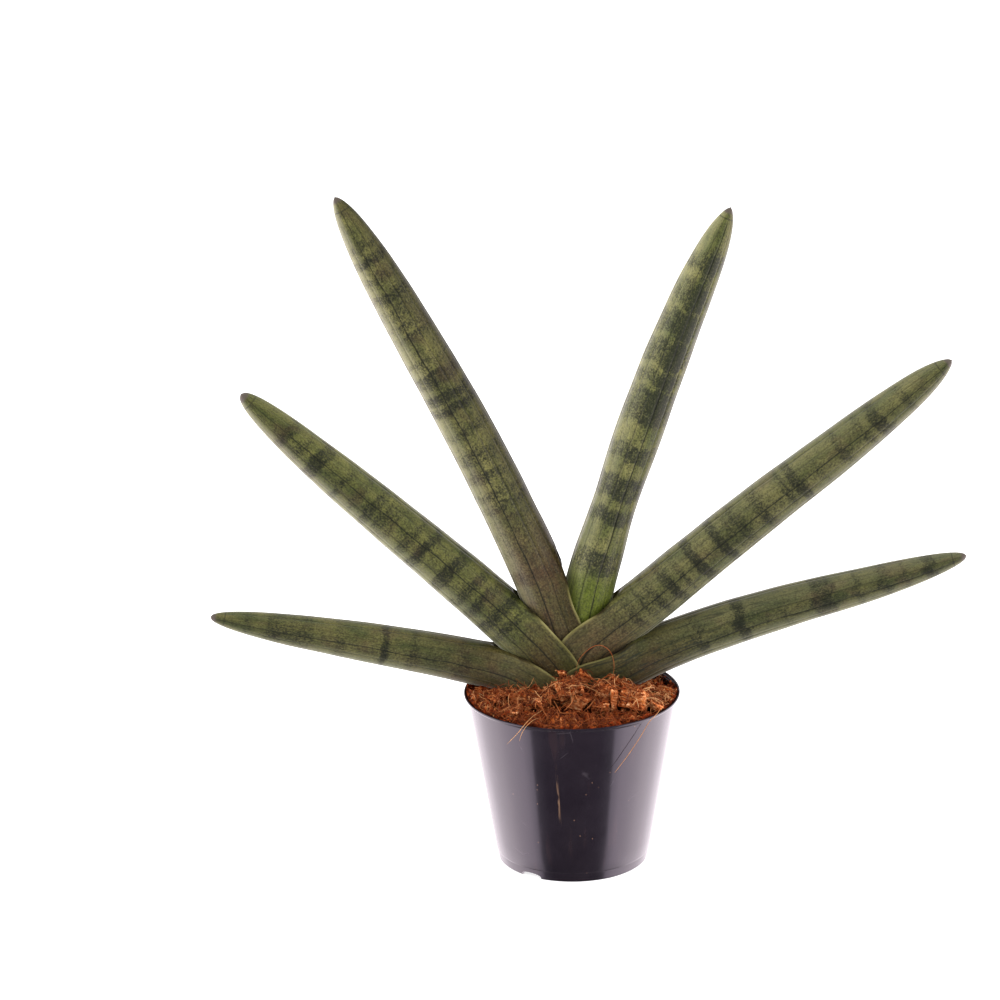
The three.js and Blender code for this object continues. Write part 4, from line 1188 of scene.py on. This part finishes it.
def loose_strand(luck, length, coir_tree, leaf_tree):
    """A bent strand that lies on the filling, or starts in it and stands up a little. None where a leaf is above."""
    spot = Vector((*random_spot(luck, COIR_REACH)[1:], 0))
    heading = luck.random() * math.tau
    steps = 5 if length < 6 else 7 if length < 12 else 11
    curl = luck.gauss(0, STRAND_CURL)
    stands = luck.random() < (LEFT_STANDING if spot.x < LEFT_FROM else STANDING)
    lift = mix(*STANDING_LIFT, luck.random()) * length if stands else luck.random() ** 2 * LYING_LIFT
    strand = []
    for k in range(steps):
        share = k / (steps - 1)
        hit = look_down(coir_tree, spot.x, spot.y)
        cover = look_down(leaf_tree, spot.x, spot.y)
        if hit is None or (cover is not None and cover.z > hit.z):
            break
        ground = hit.z / MM if not strand else max(hit.z / MM, ground - 0.6)
        if strand and ground - strand[-1].z > length / (steps - 1):
            break
        arch = share ** 1.3 * lift if stands else math.sin(share * math.pi) * lift
        strand.append(Vector((spot.x, spot.y, ground + 0.1 + arch)))
        heading += curl + luck.gauss(0, STRAND_JITTER)
        ahead = Vector((math.cos(heading), math.sin(heading), 0)) * length
        spot = spot + ahead * (STANDING_SPREAD if stands else 1) / (steps - 1)
        if spot.xy.length > STRAND_EDGE:
            break
    return strand if len(strand) >= FEWEST_POINTS else None


def fibre_piece(name, strands):
    """One piece of many strands, each a four-sided tube that thins towards its ends and has its own shade."""
    curve = bpy.data.curves.new(name, "CURVE")
    curve.dimensions = "3D"
    curve.bevel_depth = MM
    curve.bevel_resolution = 0
    for strand, width, shade in strands:
        spline = curve.splines.new("POLY")
        spline.points.add(len(strand) - 1)
        for k, (point, spot) in enumerate(zip(spline.points, strand)):
            share = k / (len(strand) - 1)
            point.co = (*(spot * MM), 1)
            point.radius = width * mix(1, STRAND_END, abs(share * 2 - 1) ** 3)
    carrier = new_object(name, curve)
    bpy.context.view_layer.update()
    mesh = bpy.data.meshes.new_from_object(carrier.evaluated_get(bpy.context.evaluated_depsgraph_get()))
    bpy.data.objects.remove(carrier)
    bm = bmesh.new()
    bm.from_mesh(mesh)
    bpy.data.meshes.remove(mesh)
    layer = bm.verts.layers.float.new("shade")
    bm.verts.ensure_lookup_table()
    start = 0
    for strand, width, shade in strands:
        end = start + len(strand) * STRAND_SIDES
        for vert in bm.verts[start:end]:
            vert[layer] = shade
        start = end
    bmesh.ops.holes_fill(bm, edges=[edge for edge in bm.edges if edge.is_boundary], sides=STRAND_SIDES)
    bmesh.ops.recalc_face_normals(bm, faces=bm.faces[:])
    return finish_piece(name, bm, coir_fibre(), None)


# Strands with a place of their own, the loop and those over the rim: their points, radius and shade.
NAMED_FIBRES = [
    ([(2, -15, 115), (4, -16, 122), (9, -16.5, 127.6), (13.7, -16.5, 130), (18, -16.5, 129),
      (21.4, -17, 125.5), (23, -17, 119), (22.6, -17.5, 112), (23.5, -18, 107)], 0.15, 0.62),
    ([(-16, -38, 101), (-20, -43, 100.6), (-23.8, -49, 99.9), (-27, -55, 98.6), (-30.5, -57.3, 95),
      (-33.6, -56.9, 91.5), (-36.5, -57, 88.4)], 0.18, 1.0),
    ([(-18, -46, 99.5), (-22, -51, 99.9), (-26, -56, 98.2), (-28.6, -58.2, 94.5), (-29.6, -57.4, 90.4)], 0.15, 1.0),
    ([(50, -28, 98.6), (48, -34, 99.2), (45.6, -40.5, 98.6), (41, -43.8, 94.8), (36.5, -46.6, 88),
      (30, -49.6, 79), (25, -51, 72.6), (22.1, -51.8, 68.9)], 0.2, 0.9),
]


def make_fibres(luck, coir_tree, husk_tree, leaf_tree):
    """Loose strands on the filling, fewer on the husk, darker in hollows as painted shade, darker at the front and
    lighter at the right.
    """
    short, long = [], []
    while len(short) + len(long) < STRAND_COUNT:
        is_short = len(short) < SHORT_TO_LONG * len(long)
        length = mix(*SHORT_STRAND, luck.random()) if is_short else mix(*LONG_STRAND, luck.random() ** 2)
        strand = loose_strand(luck, length, coir_tree, leaf_tree)
        if strand is None:
            continue
        middle = strand[len(strand) // 2] * MM
        above = middle + Vector((0, 0, ABOVE_HUSK * MM))
        over_husk = husk_tree.ray_cast(above, DOWN, ABOVE_HUSK * MM)[0] is not None
        if over_husk and luck.random() < SKIPPED_ON_HUSK:
            continue
        width = mix(*STRAND_RADIUS, luck.random() ** 1.6)
        # Painted shade: a strand in a hollow gets a darker shade.
        shade = luck.random() ** 1.2 * mix(0.25, 1, openness(middle, coir_tree))
        shade = shade * mix(1, 0.7, ease(-middle.y / MM, 34, 46)) + 0.2 * ease(middle.x / MM, 25, 45)
        (short if is_short else long).append((strand, width, shade))
    for path, width, shade in NAMED_FIBRES:
        long.append((centre_line(path, 4)[0], width, shade))
    fibre_piece("coir_fibres_short", short)
    fibre_piece("coir_fibres_long", long)


# ---------------------------------------------------------------- the whole

set_camera()
light_studio()
lay_floor()
leaves = [make_leaf(leaf) for leaf in LEAVES]
make_pot()
bed = make_coir_bed()
husk = make_husk(random.Random(5))
crumbs = make_crumbs(random.Random(29), surface_tree([bed, husk]))
mark_hollows([bed, husk, crumbs], surface_tree([bed, husk]))
make_fibres(random.Random(17), surface_tree([bed, husk, crumbs]), surface_tree([husk]), surface_tree(leaves))
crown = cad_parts["crown_with_roots"].data
crown.materials.clear()
crown.materials.append(root_cork())
bpy.context.scene.view_settings.view_transform = "Standard"
